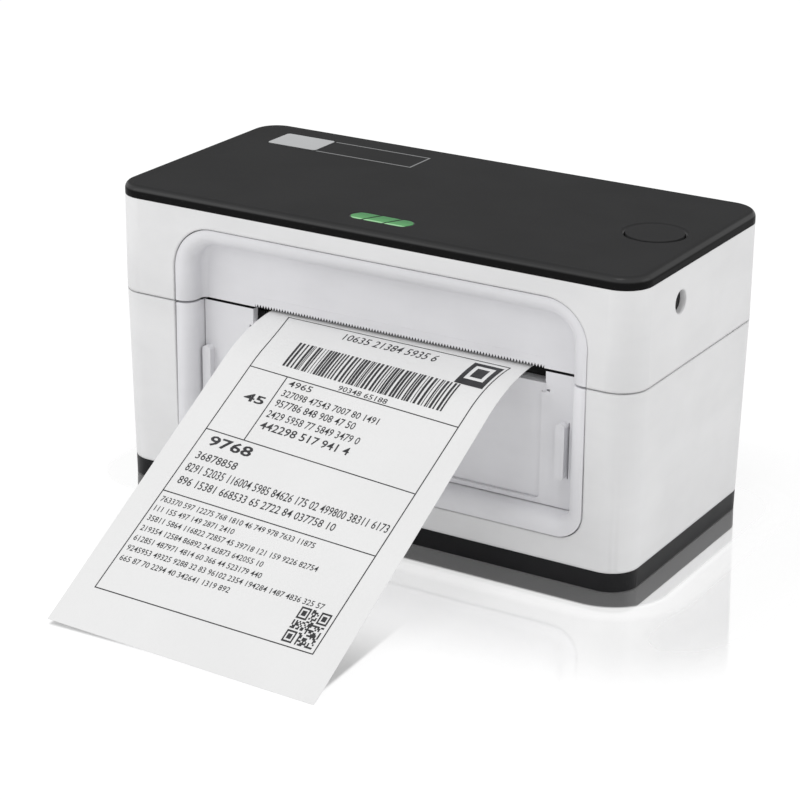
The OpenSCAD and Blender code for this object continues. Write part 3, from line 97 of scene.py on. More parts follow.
class FinishColours(bpy.types.PropertyGroup):
    """Base colours of the printer's finishes."""
    shell: colour("Shell", "White moulded housings", (0.74, 0.74, 0.745))
    # The recess's faint lavender tint over the shell's white is a painted reflection.
    recess: colour("Recess", "White mouldings of the front recess", (0.74, 0.738, 0.76))
    lid: colour("Lid", "Dark moulded top panel", (0.0300, 0.0300, 0.0305))
    base: colour("Base", "Black base tray", (0.010, 0.010, 0.011))
    inner: colour("Inner parts", "Black mouldings inside", (0.018, 0.018, 0.019))
    guide: colour("Media guides", "Blue sliding guides", (0.03, 0.12, 0.34))
    gear: colour("Gears", "Natural acetal gears", (0.66, 0.64, 0.55))
    rubber: colour("Rubber", "Foot ring and platen", (0.016, 0.016, 0.016))
    steel: colour("Steel", "Bright and plated steel", (0.56, 0.57, 0.58))
    brass: colour("Brass", "Bushes and motor pinion", (0.60, 0.40, 0.14))
    alloy: colour("Aluminium", "Head bar and badge", (0.62, 0.63, 0.64))
    board: colour("Board", "Solder mask of the boards", (0.006, 0.075, 0.026))
    ceramic: colour("Ceramic", "Glazed strip of the print head", (0.05, 0.026, 0.016))
    lens: colour("Lens", "Green status lenses", (0.02, 0.17, 0.04))
    paper: colour("Paper", "Coated label stock", (0.785, 0.785, 0.785))
    ink: colour("Ink", "Thermal print", (0.020, 0.020, 0.022))


class LabelShape(bpy.types.PropertyGroup):
    """Sizes of the label that hangs out of the slot and of what is printed on it."""
    thickness: length("Thickness", "Label and liner together", 0.2 * MM)
    bend: length("Bend radius", "Radius of the under side on its way through the slot", 65 * MM)
    lead: length("Lead", "Distance from the start of the bend to the slot", 6.1 * MM)
    tail: length("Tail", "Level length behind the bend", 17.9 * MM)
    short: length("Short", "Length left off so that the lower edge clears the table", 1.0 * MM)
    slope: turn("Slope", "Slope of the hanging part", 32.0)
    skew: turn("Skew", "Turn of the sheet in its own plane", 1.73)
    shift: length("Shift", "Sideways shift of the sheet", 0.72 * MM)
    print_skew: turn("Print skew", "Turn of the print in the sheet's plane", 3.14)
    print_right: length("Print right", "Middle of the print from the sheet's left edge", 53.72 * MM)
    print_down: length("Print down", "Middle of the print from the start of the bend", 76.3 * MM)
    print_width: length("Print width", "Width of the printed frame", 88.84 * MM)
    line: length("Line", "Thickness of the printed lines", 0.42 * MM)
    twist: FloatVectorProperty(name="Twist", description="Lean of the printed rows, a cubic down the sheet",
                               size=4, default=(0.0090, -0.0273, -0.0218, 0.0142))
    flare: FloatVectorProperty(name="Flare", description="Spread of the print's two sides at the slot",
                               subtype="XYZ_LENGTH", unit="LENGTH", size=2, default=(2.82 * MM, 1.21 * MM))
    bars: IntProperty(name="Bars", description="Modules across the bar pattern", default=104, min=20)
    cells: IntProperty(name="Cells", description="Cells along a side of the square code",
                       default=21, min=15)
    seed: IntProperty(name="Seed", description="Seed of the printed patterns", default=7)


class SpringShape(bpy.types.PropertyGroup):
    """Sizes of the print head's springs that the frame doesn't give."""
    wire: length("Wire", "Radius of the wire", 0.45 * MM)
    turns: FloatProperty(name="Turns", description="Turns of wire in a spring", default=6.0, min=1.0)


class Studio(bpy.types.PropertyGroup):
    """Camera and light."""
    azimuth: turn("Azimuth", "Camera's turn round the object", 30.759)
    elevation: turn("Elevation", "Camera's height over the horizon", 21.038)
    roll: turn("Roll", "Camera's turn about its own axis", 0.62)
    place: FloatVectorProperty(name="Place", description="Camera's place", subtype="TRANSLATION",
                               unit="LENGTH", size=3, default=(0.46104, -0.79886, 0.38980))
    lens: FloatProperty(name="Lens", description="Focal length", subtype="DISTANCE_CAMERA",
                        default=117.92)
    key: FloatProperty(name="Key", description="Power of the front lamp", subtype="POWER",
                       unit="POWER", default=5.0)
    side: FloatProperty(name="Side", description="Power of the right lamp", subtype="POWER",
                        unit="POWER", default=4.4)
    top: FloatProperty(name="Top", description="Power of the overhead lamp", subtype="POWER",
                       unit="POWER", default=3.0)
    ambient: FloatProperty(name="Ambient", description="World light on the object", default=0.78)
    floor_glow: FloatProperty(name="Floor glow", description="White added to the floor in view",
                              default=0.67)
    floor_gloss: FloatProperty(name="Floor gloss", default=0.9,
                               description="Share of the floor that mirrors by the base")


class Wire:
    """An output socket in a node tree. Arithmetic on it adds Math nodes to the tree."""

    def __init__(self, tree, socket=None):
        self.tree = tree
        self.socket = socket

    def node(self, kind, settings=None, sockets=None, out=0):
        """Adds a node of a type, applies its settings, fills or links its sockets, returns an output."""
        item = self.tree.nodes.new("ShaderNode" + kind)
        for name, value in (settings or {}).items():
            setattr(item, name, value)
        for key, value in (sockets or {}).items():
            if isinstance(value, Wire):
                self.tree.links.new(value.socket, item.inputs[key])
            else:
                item.inputs[key].default_value = value
        return Wire(self.tree, item.outputs[out])

    def math(self, operation, *values):
        """A Math node over values that are wires or numbers."""
        return self.node("Math", {"operation": operation}, dict(enumerate(values)))

    def __add__(self, other):
        return self.math("ADD", self, other)

    __radd__ = __add__

    def __sub__(self, other):
        return self.math("SUBTRACT", self, other)

    def __rsub__(self, other):
        return self.math("SUBTRACT", other, self)

    def __mul__(self, other):
        return self.math("MULTIPLY", self, other)

    __rmul__ = __mul__

    def __gt__(self, other):
        return self.math("GREATER_THAN", self, other)

    def __lt__(self, other):
        return self.math("LESS_THAN", self, other)

    def size(self):
        """The value without its sign."""
        return self.math("ABSOLUTE", self)

    def clip(self):
        """The value kept from 0 to 1."""
        return self.node("Clamp", None, {"Value": self})

    def band(self, low, high, start=0.0, end=1.0):
        """The value mapped smoothly from low..high to start..end."""
        return self.node("MapRange", {"interpolation_type": "SMOOTHSTEP"},
                         {"Value": self, "From Min": low, "From Max": high,
                          "To Min": start, "To Max": end})

    def blend(self, first, second):
        """The colour first where this value is 0 and second where it is 1."""
        factor, colour_a, colour_b, mixed = 0, 6, 7, 2
        pick = {factor: self}
        for place, shade in ((colour_a, first), (colour_b, second)):
            pick[place] = shade if isinstance(shade, Wire) else (*shade, 1.0)
        return self.node("Mix", {"data_type": "RGBA"}, pick, mixed)

    def axis(self, name):
        """One axis of a vector."""
        return self.node("SeparateXYZ", None, {0: self}, "XYZ".index(name))

    def place(self, scale):
        """The vector scaled by a Mapping node."""
        return self.node("Mapping", None, {"Vector": self, "Scale": scale})

    def noise(self, scale, detail=2.0, roughness=0.5):
        """Noise over this vector, about 0.5."""
        return self.node("TexNoise", None, {"Vector": self, "Scale": scale, "Detail": detail,
                                            "Roughness": roughness})

    def cells(self, scale, settings=None, out="Distance"):
        """Voronoi cells over this vector."""
        return self.node("TexVoronoi", settings, {"Vector": self, "Scale": scale}, out)


def material(name, constants, dress):
    """A Principled material: constants go on its sockets, and dress(spot) adds what varies.

    dress gets a wire on Object coordinates and returns the varying sockets, with the key "height"
    for a bump in metres and the key "blunt" for a radius by which the shading rounds edges.
    """
    made = bpy.data.materials.new(name)
    made.use_nodes = True
    tree = made.node_tree
    shader = tree.nodes["Principled BSDF"]
    for key, value in constants.items():
        shader.inputs[key].default_value = value
    spot = Wire(tree).node("TexCoord", out="Object")
    varying = dress(spot)
    height, blunt = varying.pop("height", None), varying.pop("blunt", 0.0)
    if height is not None:
        bump = {"Height": height, "Strength": 1.0, "Distance": 1.0}
        if blunt:
            bump["Normal"] = spot.node("Bevel", {"samples": 6}, {"Radius": blunt})
        varying["Normal"] = spot.node("Bump", None, bump)
    for key, value in varying.items():
        tree.links.new(value.socket, shader.inputs[key])
    return made


def moulded(name, shade, rough, grain=1.0, specular=0.5, drift=0.04, gaps=(), blunt=0.0):
    """Moulded plastic: fine eroded grain, faint flow marks and scattered dull flecks.

    drift is the share by which the shade wanders. gaps are boxes, each as its low and its high corner,
    in which the surface is painted dark, as the shade that falls in seams, pockets and notches. blunt is
    the radius of the edges in the shading.
    """
    def dress(spot):
        fine = spot.noise(2600.0, detail=2.0, roughness=0.6)
        cloud = spot.noise(38.0, detail=3.0)
        flow = spot.place((16.0, 16.0, 60.0)).noise(1.0, detail=4.0, roughness=0.55)
        fleck = spot.cells(900.0).band(0.03, 0.06, 1.0, 0.0)
        tone = (cloud * 0.5 + flow * 0.5).band(0.3, 0.7)
        skin = tone.blend([c * (1.0 - drift) for c in shade],
                          [min(c * (1.0 + drift), 1.0) for c in shade])
        # Painted shade: inside each box the colour turns to the dark of a shaded gap.
        for low, high in gaps:
            inside = 1.0
            for axis, start, end in zip("XYZ", low, high):
                inside = (spot.axis(axis) > start) * (spot.axis(axis) < end) * inside
            skin = inside.blend(skin, PAINTED_GAP_SHADE)
        return {
            "Base Color": skin,
            "Roughness": (rough + (cloud - 0.5) * 0.10 + (fine - 0.5) * 0.10 + fleck * 0.04).clip(),
            "height": (fine * 0.9 + spot.noise(700.0, detail=1.0) * 0.6) * (0.000012 * grain),
            "blunt": blunt,
        }
    return material(name, {"Specular IOR Level": specular}, dress)


def lid_moulding(name, shade, level):
    """Dark moulded lid: coarse matt grain on top, a smoother rolled edge and an upright side painted darker
    as shade.

    level is the height of the top.
    """
    def dress(spot):
        grain = spot.noise(1900.0, detail=3.0, roughness=0.6)
        cloud = spot.noise(34.0, detail=3.0)
        flat = spot.axis("Z").band(level - 0.0008, level - 0.0002)
        rolled = spot.axis("Z").band(level - 0.0022, level - 0.0014)
        top = cloud.band(0.3, 0.7).blend(shade, [c * 1.12 for c in shade])
        return {
            # Painted shade: below the rolled edge the upright side takes a third of the lid's colour.
            "Base Color": rolled.blend([c * 0.30 for c in shade], top),
            "Roughness": (0.30 + flat * 0.42 + (grain - 0.5) * 0.12 + (cloud - 0.5) * 0.08).clip(),
            "Coat Weight": rolled * (1.0 - flat) * 0.27,
            "height": grain * (0.000008 + flat * 0.000014),
        }
    return material(name, {"Specular IOR Level": 0.02, "Coat Roughness": 0.2}, dress)


def brushed(name, shade, rough, along=(1.0, 60.0, 60.0)):
    """Metal with fine draw lines along one axis, soft clouds in its lustre and small scuffs."""
    def dress(spot):
        lines = spot.place(tuple(30.0 * a for a in along)).noise(1.0, detail=4.0, roughness=0.7)
        cloud = spot.noise(55.0, detail=3.0)
        scuff = spot.noise(420.0, detail=5.0, roughness=0.75).band(0.62, 0.72)
        low = [c * 0.86 for c in shade]
        return {
            "Base Color": (lines * 0.6 + cloud * 0.4).band(0.3, 0.7).blend(low, shade),
            "Roughness": (rough + (lines - 0.5) * 0.18 + scuff * 0.08 + (cloud - 0.5) * 0.10).clip(),
            "height": lines * 0.000006,
        }
    return material(name, {"Metallic": 1.0}, dress)


def plated(name, shade, rough):
    """Zinc plated sheet: crystal spangle in the tone and lustre, with a faint roll direction."""
    def dress(spot):
        patch = spot.cells(420.0, out="Color").axis("X")
        roll = spot.place((30.0, 900.0, 900.0)).noise(1.0, detail=3.0)
        low = [c * 0.80 for c in shade]
        return {
            "Base Color": (patch * 0.7 + roll * 0.3).clip().blend(low, shade),
            "Roughness": (rough + (patch - 0.5) * 0.16 + (roll - 0.5) * 0.10).clip(),
            "height": roll * 0.000005,
        }
    return material(name, {"Metallic": 1.0}, dress)


def rubber(name, shade):
    """Moulded rubber: matt, with a pebbled skin and a dusty bloom in its hollows."""
    def dress(spot):
        pebble = spot.cells(1400.0)
        bloom = spot.noise(90.0, detail=4.0, roughness=0.6).band(0.35, 0.75)
        pale = [c * 1.9 for c in shade]
        return {
            "Base Color": bloom.blend(shade, pale),
            "Roughness": (0.74 + (bloom - 0.5) * 0.14).clip(),
            "height": pebble * 0.00004,
        }
    return material(name, {"Specular IOR Level": 0.35}, dress)


def acetal(name, shade):
    """Natural gear plastic: waxy, with turning marks and a faint scatter of darker grease."""
    def dress(spot):
        grease = spot.noise(160.0, detail=4.0, roughness=0.6).band(0.56, 0.74)
        mark = spot.noise(1500.0, detail=2.0)
        dark = [c * 0.72 for c in shade]
        return {
            "Base Color": grease.blend(shade, dark),
            "Roughness": (0.38 - grease * 0.12 + (mark - 0.5) * 0.10).clip(),
            "height": mark * 0.000008,
        }
    return material(name, {"Specular IOR Level": 0.5}, dress)


def solder_mask(name, shade):
    """Circuit board: lacquer over copper runs, rows of tinned pads and drilled vias."""
    def dress(spot):
        grid = spot.place((260.0, 260.0, 260.0))
        runs = spot.node("TexBrick", {"offset": 0.37, "squash": 1.7, "squash_frequency": 3},
                         {"Vector": grid, "Scale": 1.0, "Mortar Size": 0.055, "Mortar Smooth": 0.1}, 1)
        via = spot.cells(330.0).band(0.10, 0.13, 1.0, 0.0)
        pad = spot.cells(190.0, {"distance": "CHEBYCHEV"}).band(0.13, 0.15, 1.0, 0.0)
        metal = (via + pad).clip()
        copper, tin = [min(c * 2.3, 1.0) for c in shade], (0.55, 0.54, 0.50)
        return {
            "Base Color": metal.blend(runs.blend(shade, copper), tin),
            "Roughness": (0.30 + runs * 0.06 + metal * 0.05 + spot.noise(300.0) * 0.05).clip(),
            "Metallic": metal * 0.9,
            "height": (runs * 0.5 + metal) * 0.00002,
        }
    return material(name, {"Coat Weight": 0.25, "Coat Roughness": 0.12}, dress)


def lens(name, shade):
    """Green light pipe: pale at its front rim as a painted highlight, lit most behind it, with a fine
    diffusing grain.
    """
    def dress(spot):
        grain = spot.noise(2200.0, detail=2.0)
        edge = spot.axis("Y").band(*LENS_RIM_Y, 1.0, 0.0)
        core = spot.axis("Y").band(*LENS_CORE_Y, 1.0, 0.0)
        glow = (core * 0.5 + grain * 0.2).clip()
        pale, rim, lit = (0.06, 0.31, 0.075), (0.32, 0.64, 0.33), (0.08, 0.42, 0.12)
        return {
            # Painted highlight: the pale colour along the front rim.
            "Base Color": edge.blend(glow.blend(shade, pale), rim),
            "Emission Color": glow.blend([c * 0.4 for c in shade], lit),
            "Roughness": (0.18 + grain * 0.12).clip(),
            "height": grain * 0.00001,
        }
    return material(name, {"Emission Strength": 0.08, "Specular IOR Level": 0.06}, dress)


def glazed(name, shade):
    """Glazed ceramic of the head: brown gloss with a dark heater line along the middle."""
    def dress(spot):
        heater = (spot.axis("Y") - HEATER_Y).size().band(0.0004, 0.0007, 1.0, 0.0)
        comb = spot.place((1.0, 0.0, 0.0)).noise(2600.0, detail=0.0).band(0.45, 0.55)
        cloud = spot.noise(120.0, detail=3.0)
        lead, burnt = [c * 1.6 for c in shade], (0.01, 0.008, 0.007)
        return {
            "Base Color": heater.blend((comb * 0.5 + cloud * 0.5).blend(shade, lead), burnt),
            "Roughness": (0.14 + cloud * 0.10 + heater * 0.08).clip(),
            "height": heater * 0.00002,
        }
    return material(name, {"Coat Weight": 0.6, "Coat Roughness": 0.05}, dress)


def paper(name, shade):
    """Coated label stock: short fibres under a smooth coat, which soft light shines through."""
    def dress(spot):
        fibre = spot.place((1.0, 0.35, 0.35)).noise(1500.0, detail=4.0, roughness=0.65)
        cloud = spot.noise(30.0, detail=2.0)
        low = [c * 0.975 for c in shade]
        through = 0.85
        return {
            "Base Color": (cloud * 0.6 + fibre * 0.4).band(0.35, 0.65).blend(low, shade),
            "Roughness": (0.52 + (fibre - 0.5) * 0.12).clip(),
            "Alpha": 1.0 - spot.node("LightPath", out="Is Diffuse Ray") * through,
            "height": fibre * 0.000006,
        }
    return material(name, {"Specular IOR Level": 0.35}, dress)


def thermal_ink(name, shade):
    """Thermal print: dense grey-black dots whose edges and density waver a little."""
    def dress(spot):
        dots = spot.cells(4000.0).band(0.25, 0.75)
        fade = spot.noise(70.0, detail=3.0).band(0.4, 0.75)
        pale = [c * 2.2 + 0.012 for c in shade]
        return {
            "Base Color": (dots * 0.35 + fade * 0.65).clip().blend(shade, pale),
            "Roughness": (0.50 + dots * 0.08).clip(),
        }
    return material(name, {"Specular IOR Level": 0.3}, dress)


def dress_nodes(finish, *names):
    """Puts one finish on CAD nodes in place of the materials they were packed with."""
    for name in names:
        mesh = frame["nodes"][name].data
        mesh.materials.clear()
        mesh.materials.append(finish)


def soften(names, width):
    """Rounds the sharp edges of CAD nodes: welds their loose triangles, then bevels by angle."""
    for name in names:
        item = frame["nodes"][name]
        weld = item.modifiers.new("Weld", "WELD")
        weld.merge_threshold = 0.000002
        bevel = item.modifiers.new("Edge radius", "BEVEL")
        bevel.width = width
        bevel.segments = 2
        bevel.limit_method = "ANGLE"
        bevel.angle_limit = math.radians(32.0)


def new_piece(name, points, faces, finish, body):
    """A mesh object at the origin from an array of points and a list or array of faces."""
    mesh = bpy.data.meshes.new(name)
    mesh.from_pydata(np.asarray(points).reshape(-1, 3).tolist(), [], [tuple(f) for f in faces])
    mesh.update()
    mesh.materials.append(finish)
    item = bpy.data.objects.new(name, mesh)
    bpy.context.scene.collection.objects.link(item)
    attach(item, body)
    return item


def grid_faces(rows, columns, closed=False):
    """Quads over a grid of rows by columns in row-major order, joined round the columns if closed."""
    i, j = np.meshgrid(np.arange(rows - 1), np.arange(columns if closed else columns - 1), indexing="ij")
    after = (j + 1) % columns
    return np.stack([i * columns + j, i * columns + after,
                     (i + 1) * columns + after, (i + 1) * columns + j], -1).reshape(-1, 4)


def coil_surface(base, height, radius, wire, turns):
    """A round wire wound into a coil, as points and faces.

    Its centre line climbs evenly round an upright axis through base. Each station carries a ring of
    points in the plane of the radial direction and of what is square to it and to the wire. wire is
    the radius of the wire.
    """
    steps_per_turn, sides = 28, 12
    steps = int(steps_per_turn * turns)
    angle = np.linspace(0.0, math.tau * turns, steps + 1)
    rise = np.linspace(wire, height - wire, steps + 1)
    out = np.stack([np.cos(angle), np.sin(angle), 0.0 * angle], -1)
    climb = (height - 2.0 * wire) / (math.tau * turns)
    run = np.stack([-radius * np.sin(angle), radius * np.cos(angle), climb + 0.0 * angle], -1)
    run /= np.linalg.norm(run, axis=1)[:, None]
    up = np.cross(out, run)
    centre = np.asarray(base) + out * radius + np.stack([0.0 * rise, 0.0 * rise, rise], -1)
    ring = np.linspace(0.0, math.tau, sides, endpoint=False)[None, :, None]
    points = centre[:, None] + wire * (np.cos(ring) * out[:, None] + np.sin(ring) * up[:, None])
    faces = grid_faces(steps + 1, sides, closed=True)[:, ::-1].tolist()
    last = steps * sides
    caps = [list(range(sides)), list(range(last + sides - 1, last - 1, -1))]
    return points.reshape(-1, 3), faces + caps


def label_point(shape, across, along, lift):
    """Places label coordinates in the frame.

    across runs from the sheet's left edge and along from the start of the bend, both turned in the
    sheet's plane beforehand. Before the bend the sheet is level. Then it follows an arc of the bend's
    radius until it has the slope, and after that a straight line, which eases out above the table. lift
    is the height over the sheet's under side.
    """
    radius = shape.bend + lift
    centre_z = LABEL_HIGH.z - shape.thickness - shape.bend
    reach = shape.bend + shape.thickness
    angle = np.clip(along / reach, 0.0, shape.slope)
    straight = np.clip(along - reach * shape.slope, 0.0, None)
    inside = np.clip(-along, 0.0, None)
    start_y = SLOT_FACE_Y + shape.lead
    y = start_y - radius * np.sin(angle) - straight * math.cos(shape.slope) + inside
    z = centre_z + radius * np.cos(angle) - straight * math.sin(shape.slope)
    clearance, easing = 0.00002, 0.0006
    rest = lift + clearance
    z = rest + 0.5 * ((z - rest) + np.sqrt((z - rest) ** 2 + easing ** 2))
    return np.stack([LABEL_LOW.x + across + 0.0 * along, y, z], -1)


def settled(shape, right, down):
    """Print coordinates after the sheet's slight twist: rows lean, and the sides spread near the slot.

    The lean is a cubic of the distance down the sheet. The spread grows with the square of the
    distance past where the flare starts, and with the distance from the middle.
    """
    lean_unit, flare_start, flare_unit, half_width = 0.05, 0.046, 0.020, 0.045
    share = down / lean_unit
    lean = sum(c * share ** k for k, c in enumerate(shape.twist))
    near = np.clip(-(down + flare_start) / flare_unit, 0.0, None) ** 2
    spread = np.where(right < 0.0, -shape.flare[0], shape.flare[1]) * near * np.abs(right) / half_width
    return right + spread, down + right * lean


def turned(first, second, angle):
    """The pair of coordinates turned by an angle in their plane."""
    return (first * math.cos(angle) - second * math.sin(angle),
            second * math.cos(angle) + first * math.sin(angle))


class PRINTER_OT_white_shell(bpy.types.Operator):
    """Finish the white housings, the mouldings of the front recess and the tear bar"""
    bl_idname = "printer.white_shell"
    bl_label = "White Shell"

    def execute(self, context):
        shades = context.scene.printer_colours
        dress_nodes(moulded("white_shell", shades.shell, rough=0.42, grain=0.7, blunt=0.0012),
                    "lower_housing", "upper_housing")
        low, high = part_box("tear_bar")
        gap_deep, gap_high, tooth_high = 0.0013, 0.0017, 0.00135
        # Boxes of painted shade: the walls behind the front's seam, the pocket behind the tear bar's teeth,
        # the upper bezel's faces at the seam and the sides of the teeth's notches.
        seam = ((-WIDE, SEAM_Y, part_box("lower_panel")[1].z - HAIR), (WIDE, WIDE, WIDE))
        behind = ((low.x, high.y + HAIR, low.z), (high.x, high.y + gap_deep, low.z + gap_high))
        under = ((-WIDE, SEAM_Y, 0.0), (WIDE, WIDE, low.z + HAIR))
        notches = ((-WIDE, low.y + 2 * HAIR, 0.0), (WIDE, WIDE, low.z + tooth_high))
        for name, rough, grain, gaps, nodes in (
            ("white_recess", 0.40, 0.7, [seam], ["lower_bezel", "lower_panel"]),
            ("white_recess_upper", 0.40, 0.7, [behind, under], ["upper_bezel"]),
            ("white_lacquer", 0.38, 0.4, [notches], ["tear_bar"]),
        ):
            dress_nodes(moulded(name, shades.recess, rough, grain, gaps=gaps), *nodes)
        soften(["lower_housing", "upper_housing"], 0.0004)
        soften(["lower_bezel", "upper_bezel", "lower_panel"], 0.0003)
        return {"FINISHED"}


class PRINTER_OT_dark_shell(bpy.types.Operator):
    """Finish the dark lid with its button, the black base and the black mouldings inside"""
    bl_idname = "printer.dark_shell"
    bl_label = "Dark Shell"

    def execute(self, context):
        shades = context.scene.printer_colours
        dress_nodes(lid_moulding("lid_grain", shades.lid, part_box("top_panel")[1].z),
                    "top_panel", "feed_button")
        dress_nodes(moulded("base_satin", shades.base, rough=0.36, grain=0.8, specular=0.15, drift=0.12),
                    "base_tray")
        dress_nodes(moulded("black_moulding", shades.inner, rough=0.48, grain=1.2, specular=0.10,
                            drift=0.12),
                    "media_deck", "gap_sensor", "cover_liner", "latch_left", "latch_right",
                    "release_button_left", "release_button_right", "dc_jack", "switch_frame",
                    "power_rocker", "led_window")
        soften(["top_panel", "base_tray"], 0.0003)
        soften(["feed_button", "switch_frame", "power_rocker"], 0.0002)
        return {"FINISHED"}


class PRINTER_OT_rubber_parts(bpy.types.Operator):
    """Finish the foot ring and the platen's rubber sleeve"""
    bl_idname = "printer.rubber_parts"
    bl_label = "Rubber Parts"

    def execute(self, context):
        dress_nodes(rubber("black_rubber", context.scene.printer_colours.rubber),
                    "foot_ring", "platen_roller")
        return {"FINISHED"}


class PRINTER_OT_metal_parts(bpy.types.Operator):
    """Finish the steel, brass and aluminium pieces"""
    bl_idname = "printer.metal_parts"
    bl_label = "Metal Parts"

    def execute(self, context):
        shades = context.scene.printer_colours
        dress_nodes(plated("zinc_plate", shades.steel, rough=0.36),
                    "chassis", "drive_motor", "usb_port", "head_mount")
        dress_nodes(brushed("bright_steel", shades.steel, rough=0.24),
                    "base_screws", "chassis_screws", "motor_screws", "pinion_screw", "board_screws",
                    "liner_screws", "platen_shaft", "idler_stud", "motor_shaft", "hinge_pins",
                    "catch_bars", "latch_pins")
        dress_nodes(brushed("turned_brass", shades.brass, rough=0.26, along=(60.0, 8.0, 8.0)),
                    "platen_bushes", "motor_pinion")
        dress_nodes(brushed("drawn_aluminium", shades.alloy, rough=0.34), "head_heatsink")
        return {"FINISHED"}


class PRINTER_OT_head_springs(bpy.types.Operator):
    """Wind the two springs that press the print head down"""
    bl_idname = "printer.head_springs"
    bl_label = "Head Springs"

    def execute(self, context):
        shades = context.scene.printer_colours
        wire, turns = context.scene.printer_springs.wire, context.scene.printer_springs.turns
        low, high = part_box("head_springs")
        radius = (high.y - low.y) / 2.0 - wire
        height = high.z - low.z
        points, faces = [], []
        for x in (low.x + radius + wire, high.x - radius - wire):
            coil, quads = coil_surface((x, (low.y + high.y) / 2.0, low.z), height, radius, wire, turns)
            faces += [[corner + len(points) * len(coil) for corner in face] for face in quads]
            points.append(coil)
        springs = new_piece("head_coils", np.concatenate(points), faces,
                            brushed("spring_steel", shades.steel, rough=0.24), "cover")
        springs.data.polygons.foreach_set("use_smooth", np.ones(len(springs.data.polygons), bool))
        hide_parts("head_springs")
        joints = frame["record"]["behaviour"]["joints"]
        travel = next(j["range_m"][1] for j in joints if j["name"] == "head_float")
        (height - travel) / height
        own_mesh(springs)
        return {"FINISHED"}


class PRINTER_OT_badge(bpy.types.Operator):
    """Finish the bare badge plate and the thin inlaid line beside it"""
    bl_idname = "printer.badge"
    bl_label = "Badge"

    def execute(self, context):
        shades = context.scene.printer_colours
        plate_shade, line_shade = ([c * share for c in shades.alloy] for share in (0.75, 0.35))
        dress_nodes(brushed("satin_badge", plate_shade, rough=0.36, along=(4.0, 90.0, 40.0)),
                    "badge_plate")
        dress_nodes(brushed("inlaid_line", line_shade, rough=0.40), "badge_frame")
        return {"FINISHED"}


class PRINTER_OT_drive_parts(bpy.types.Operator):
    """Finish the gears and the sliding media guides"""
    bl_idname = "printer.drive_parts"
    bl_label = "Drive Parts"

    def execute(self, context):
        shades = context.scene.printer_colours
        dress_nodes(acetal("gear_acetal", shades.gear), "platen_gear", "idler_gear", "guide_pinion")
        dress_nodes(moulded("guide_blue", shades.guide, rough=0.40, drift=0.08),
                    "guide_left", "guide_right")
        return {"FINISHED"}


class PRINTER_OT_circuit(bpy.types.Operator):
    """Finish the circuit boards and the print head's ceramic strip"""
    bl_idname = "printer.circuit"
    bl_label = "Circuit Boards"

    def execute(self, context):
        shades = context.scene.printer_colours
        dress_nodes(solder_mask("solder_mask", shades.board), "main_board", "panel_board")
        dress_nodes(glazed("glazed_strip", shades.ceramic), "head_strip")
        return {"FINISHED"}


class PRINTER_OT_status_lenses(bpy.types.Operator):
    """Finish the three green lenses of the status window"""
    bl_idname = "printer.status_lenses"
    bl_label = "Status Lenses"

    def execute(self, context):
        dress_nodes(lens("green_lens", context.scene.printer_colours.lens), "led_lenses")
        return {"FINISHED"}


def label_surface(shape):
    """Points and faces of the label: a flat ring of points round its edge, carried along its length.

    Each station along the sheet has a row of points on the upper side and one on the under side, and
    the two end rows are closed by quads between them.
    """
    drop = LABEL_HIGH.z - shape.thickness - shape.bend * (1.0 - math.cos(shape.slope))
    hang = drop / math.sin(shape.slope)
    arc = (shape.bend + shape.thickness) * shape.slope
    tail_rows, arc_rows, hang_rows, columns = 7, 29, 49, 31
    stations = np.unique(np.concatenate([
        np.linspace(-shape.tail, 0.0, tail_rows),
        np.linspace(0.0, arc, arc_rows),
        np.linspace(arc, arc + hang - shape.short, hang_rows),
    ]))
    over = np.linspace(0.0, LABEL_WIDTH, columns)
    across = np.concatenate([over, over[::-1]])
    lift = np.concatenate([np.full(columns, shape.thickness), np.zeros(columns)])
    along, across = np.meshgrid(stations, across, indexing="ij")
    lift = np.broadcast_to(lift, across.shape)
    side, run = turned(across - LABEL_WIDTH / 2, along, shape.skew)
    points = label_point(shape, side + LABEL_WIDTH / 2 + shape.shift, run, lift)
    ring = grid_faces(len(stations), 2 * columns, closed=True)
    j = np.arange(columns - 1)
    cap = np.stack([j, 2 * columns - 1 - j, 2 * columns - 2 - j, j + 1], -1)
    last = (len(stations) - 1) * 2 * columns
    faces = np.concatenate([ring, cap[:, ::-1], cap + last])
    return points, faces[:, ::-1], (LABEL_WIDTH, float(stations[-1] - stations[0]))


def numerals(text, left, middle, width, height, weight):
    """Flat points and faces of a row of numerals, fitted to a width and a height about its middle."""
    curve = bpy.data.curves.new("numerals", "FONT")
    curve.body = text
    curve.resolution_u = 2
    curve.offset = weight
    holder = bpy.data.objects.new("numerals", curve)
    bpy.context.scene.collection.objects.link(holder)
    bpy.context.view_layer.update()
    mesh = bpy.data.meshes.new_from_object(holder.evaluated_get(bpy.context.evaluated_depsgraph_get()))
    flat = np.empty(len(mesh.vertices) * 3)
    mesh.vertices.foreach_get("co", flat)
    flat = flat.reshape(-1, 3)[:, :2]
    faces = [list(p.vertices) for p in mesh.polygons]
    bpy.data.objects.remove(holder)
    bpy.data.curves.remove(curve)
    bpy.data.meshes.remove(mesh)
    low, high = flat.min(0), flat.max(0)
    share = (flat - low) / (high - low)
    x = left + share[:, 0] * width
    y = middle + (0.5 - share[:, 1]) * height
    return np.stack([x, y], -1), [f[::-1] for f in faces]


def number_line(random, width, height, pitch):
    """A row of number groups that fit a width at a height, the figures' pitch given as a share of it."""
    count = max(2, int(round(width / (height * pitch))))
    shortest, longest = 3, 7
    figures = random.integers(0, 10, count).astype(str)
    gaps = np.cumsum(random.integers(shortest, longest + 1, count))
    figures[gaps[gaps < count - 1]] = " "
    figures[0] = str(random.integers(1, 10))
    return "".join(figures)


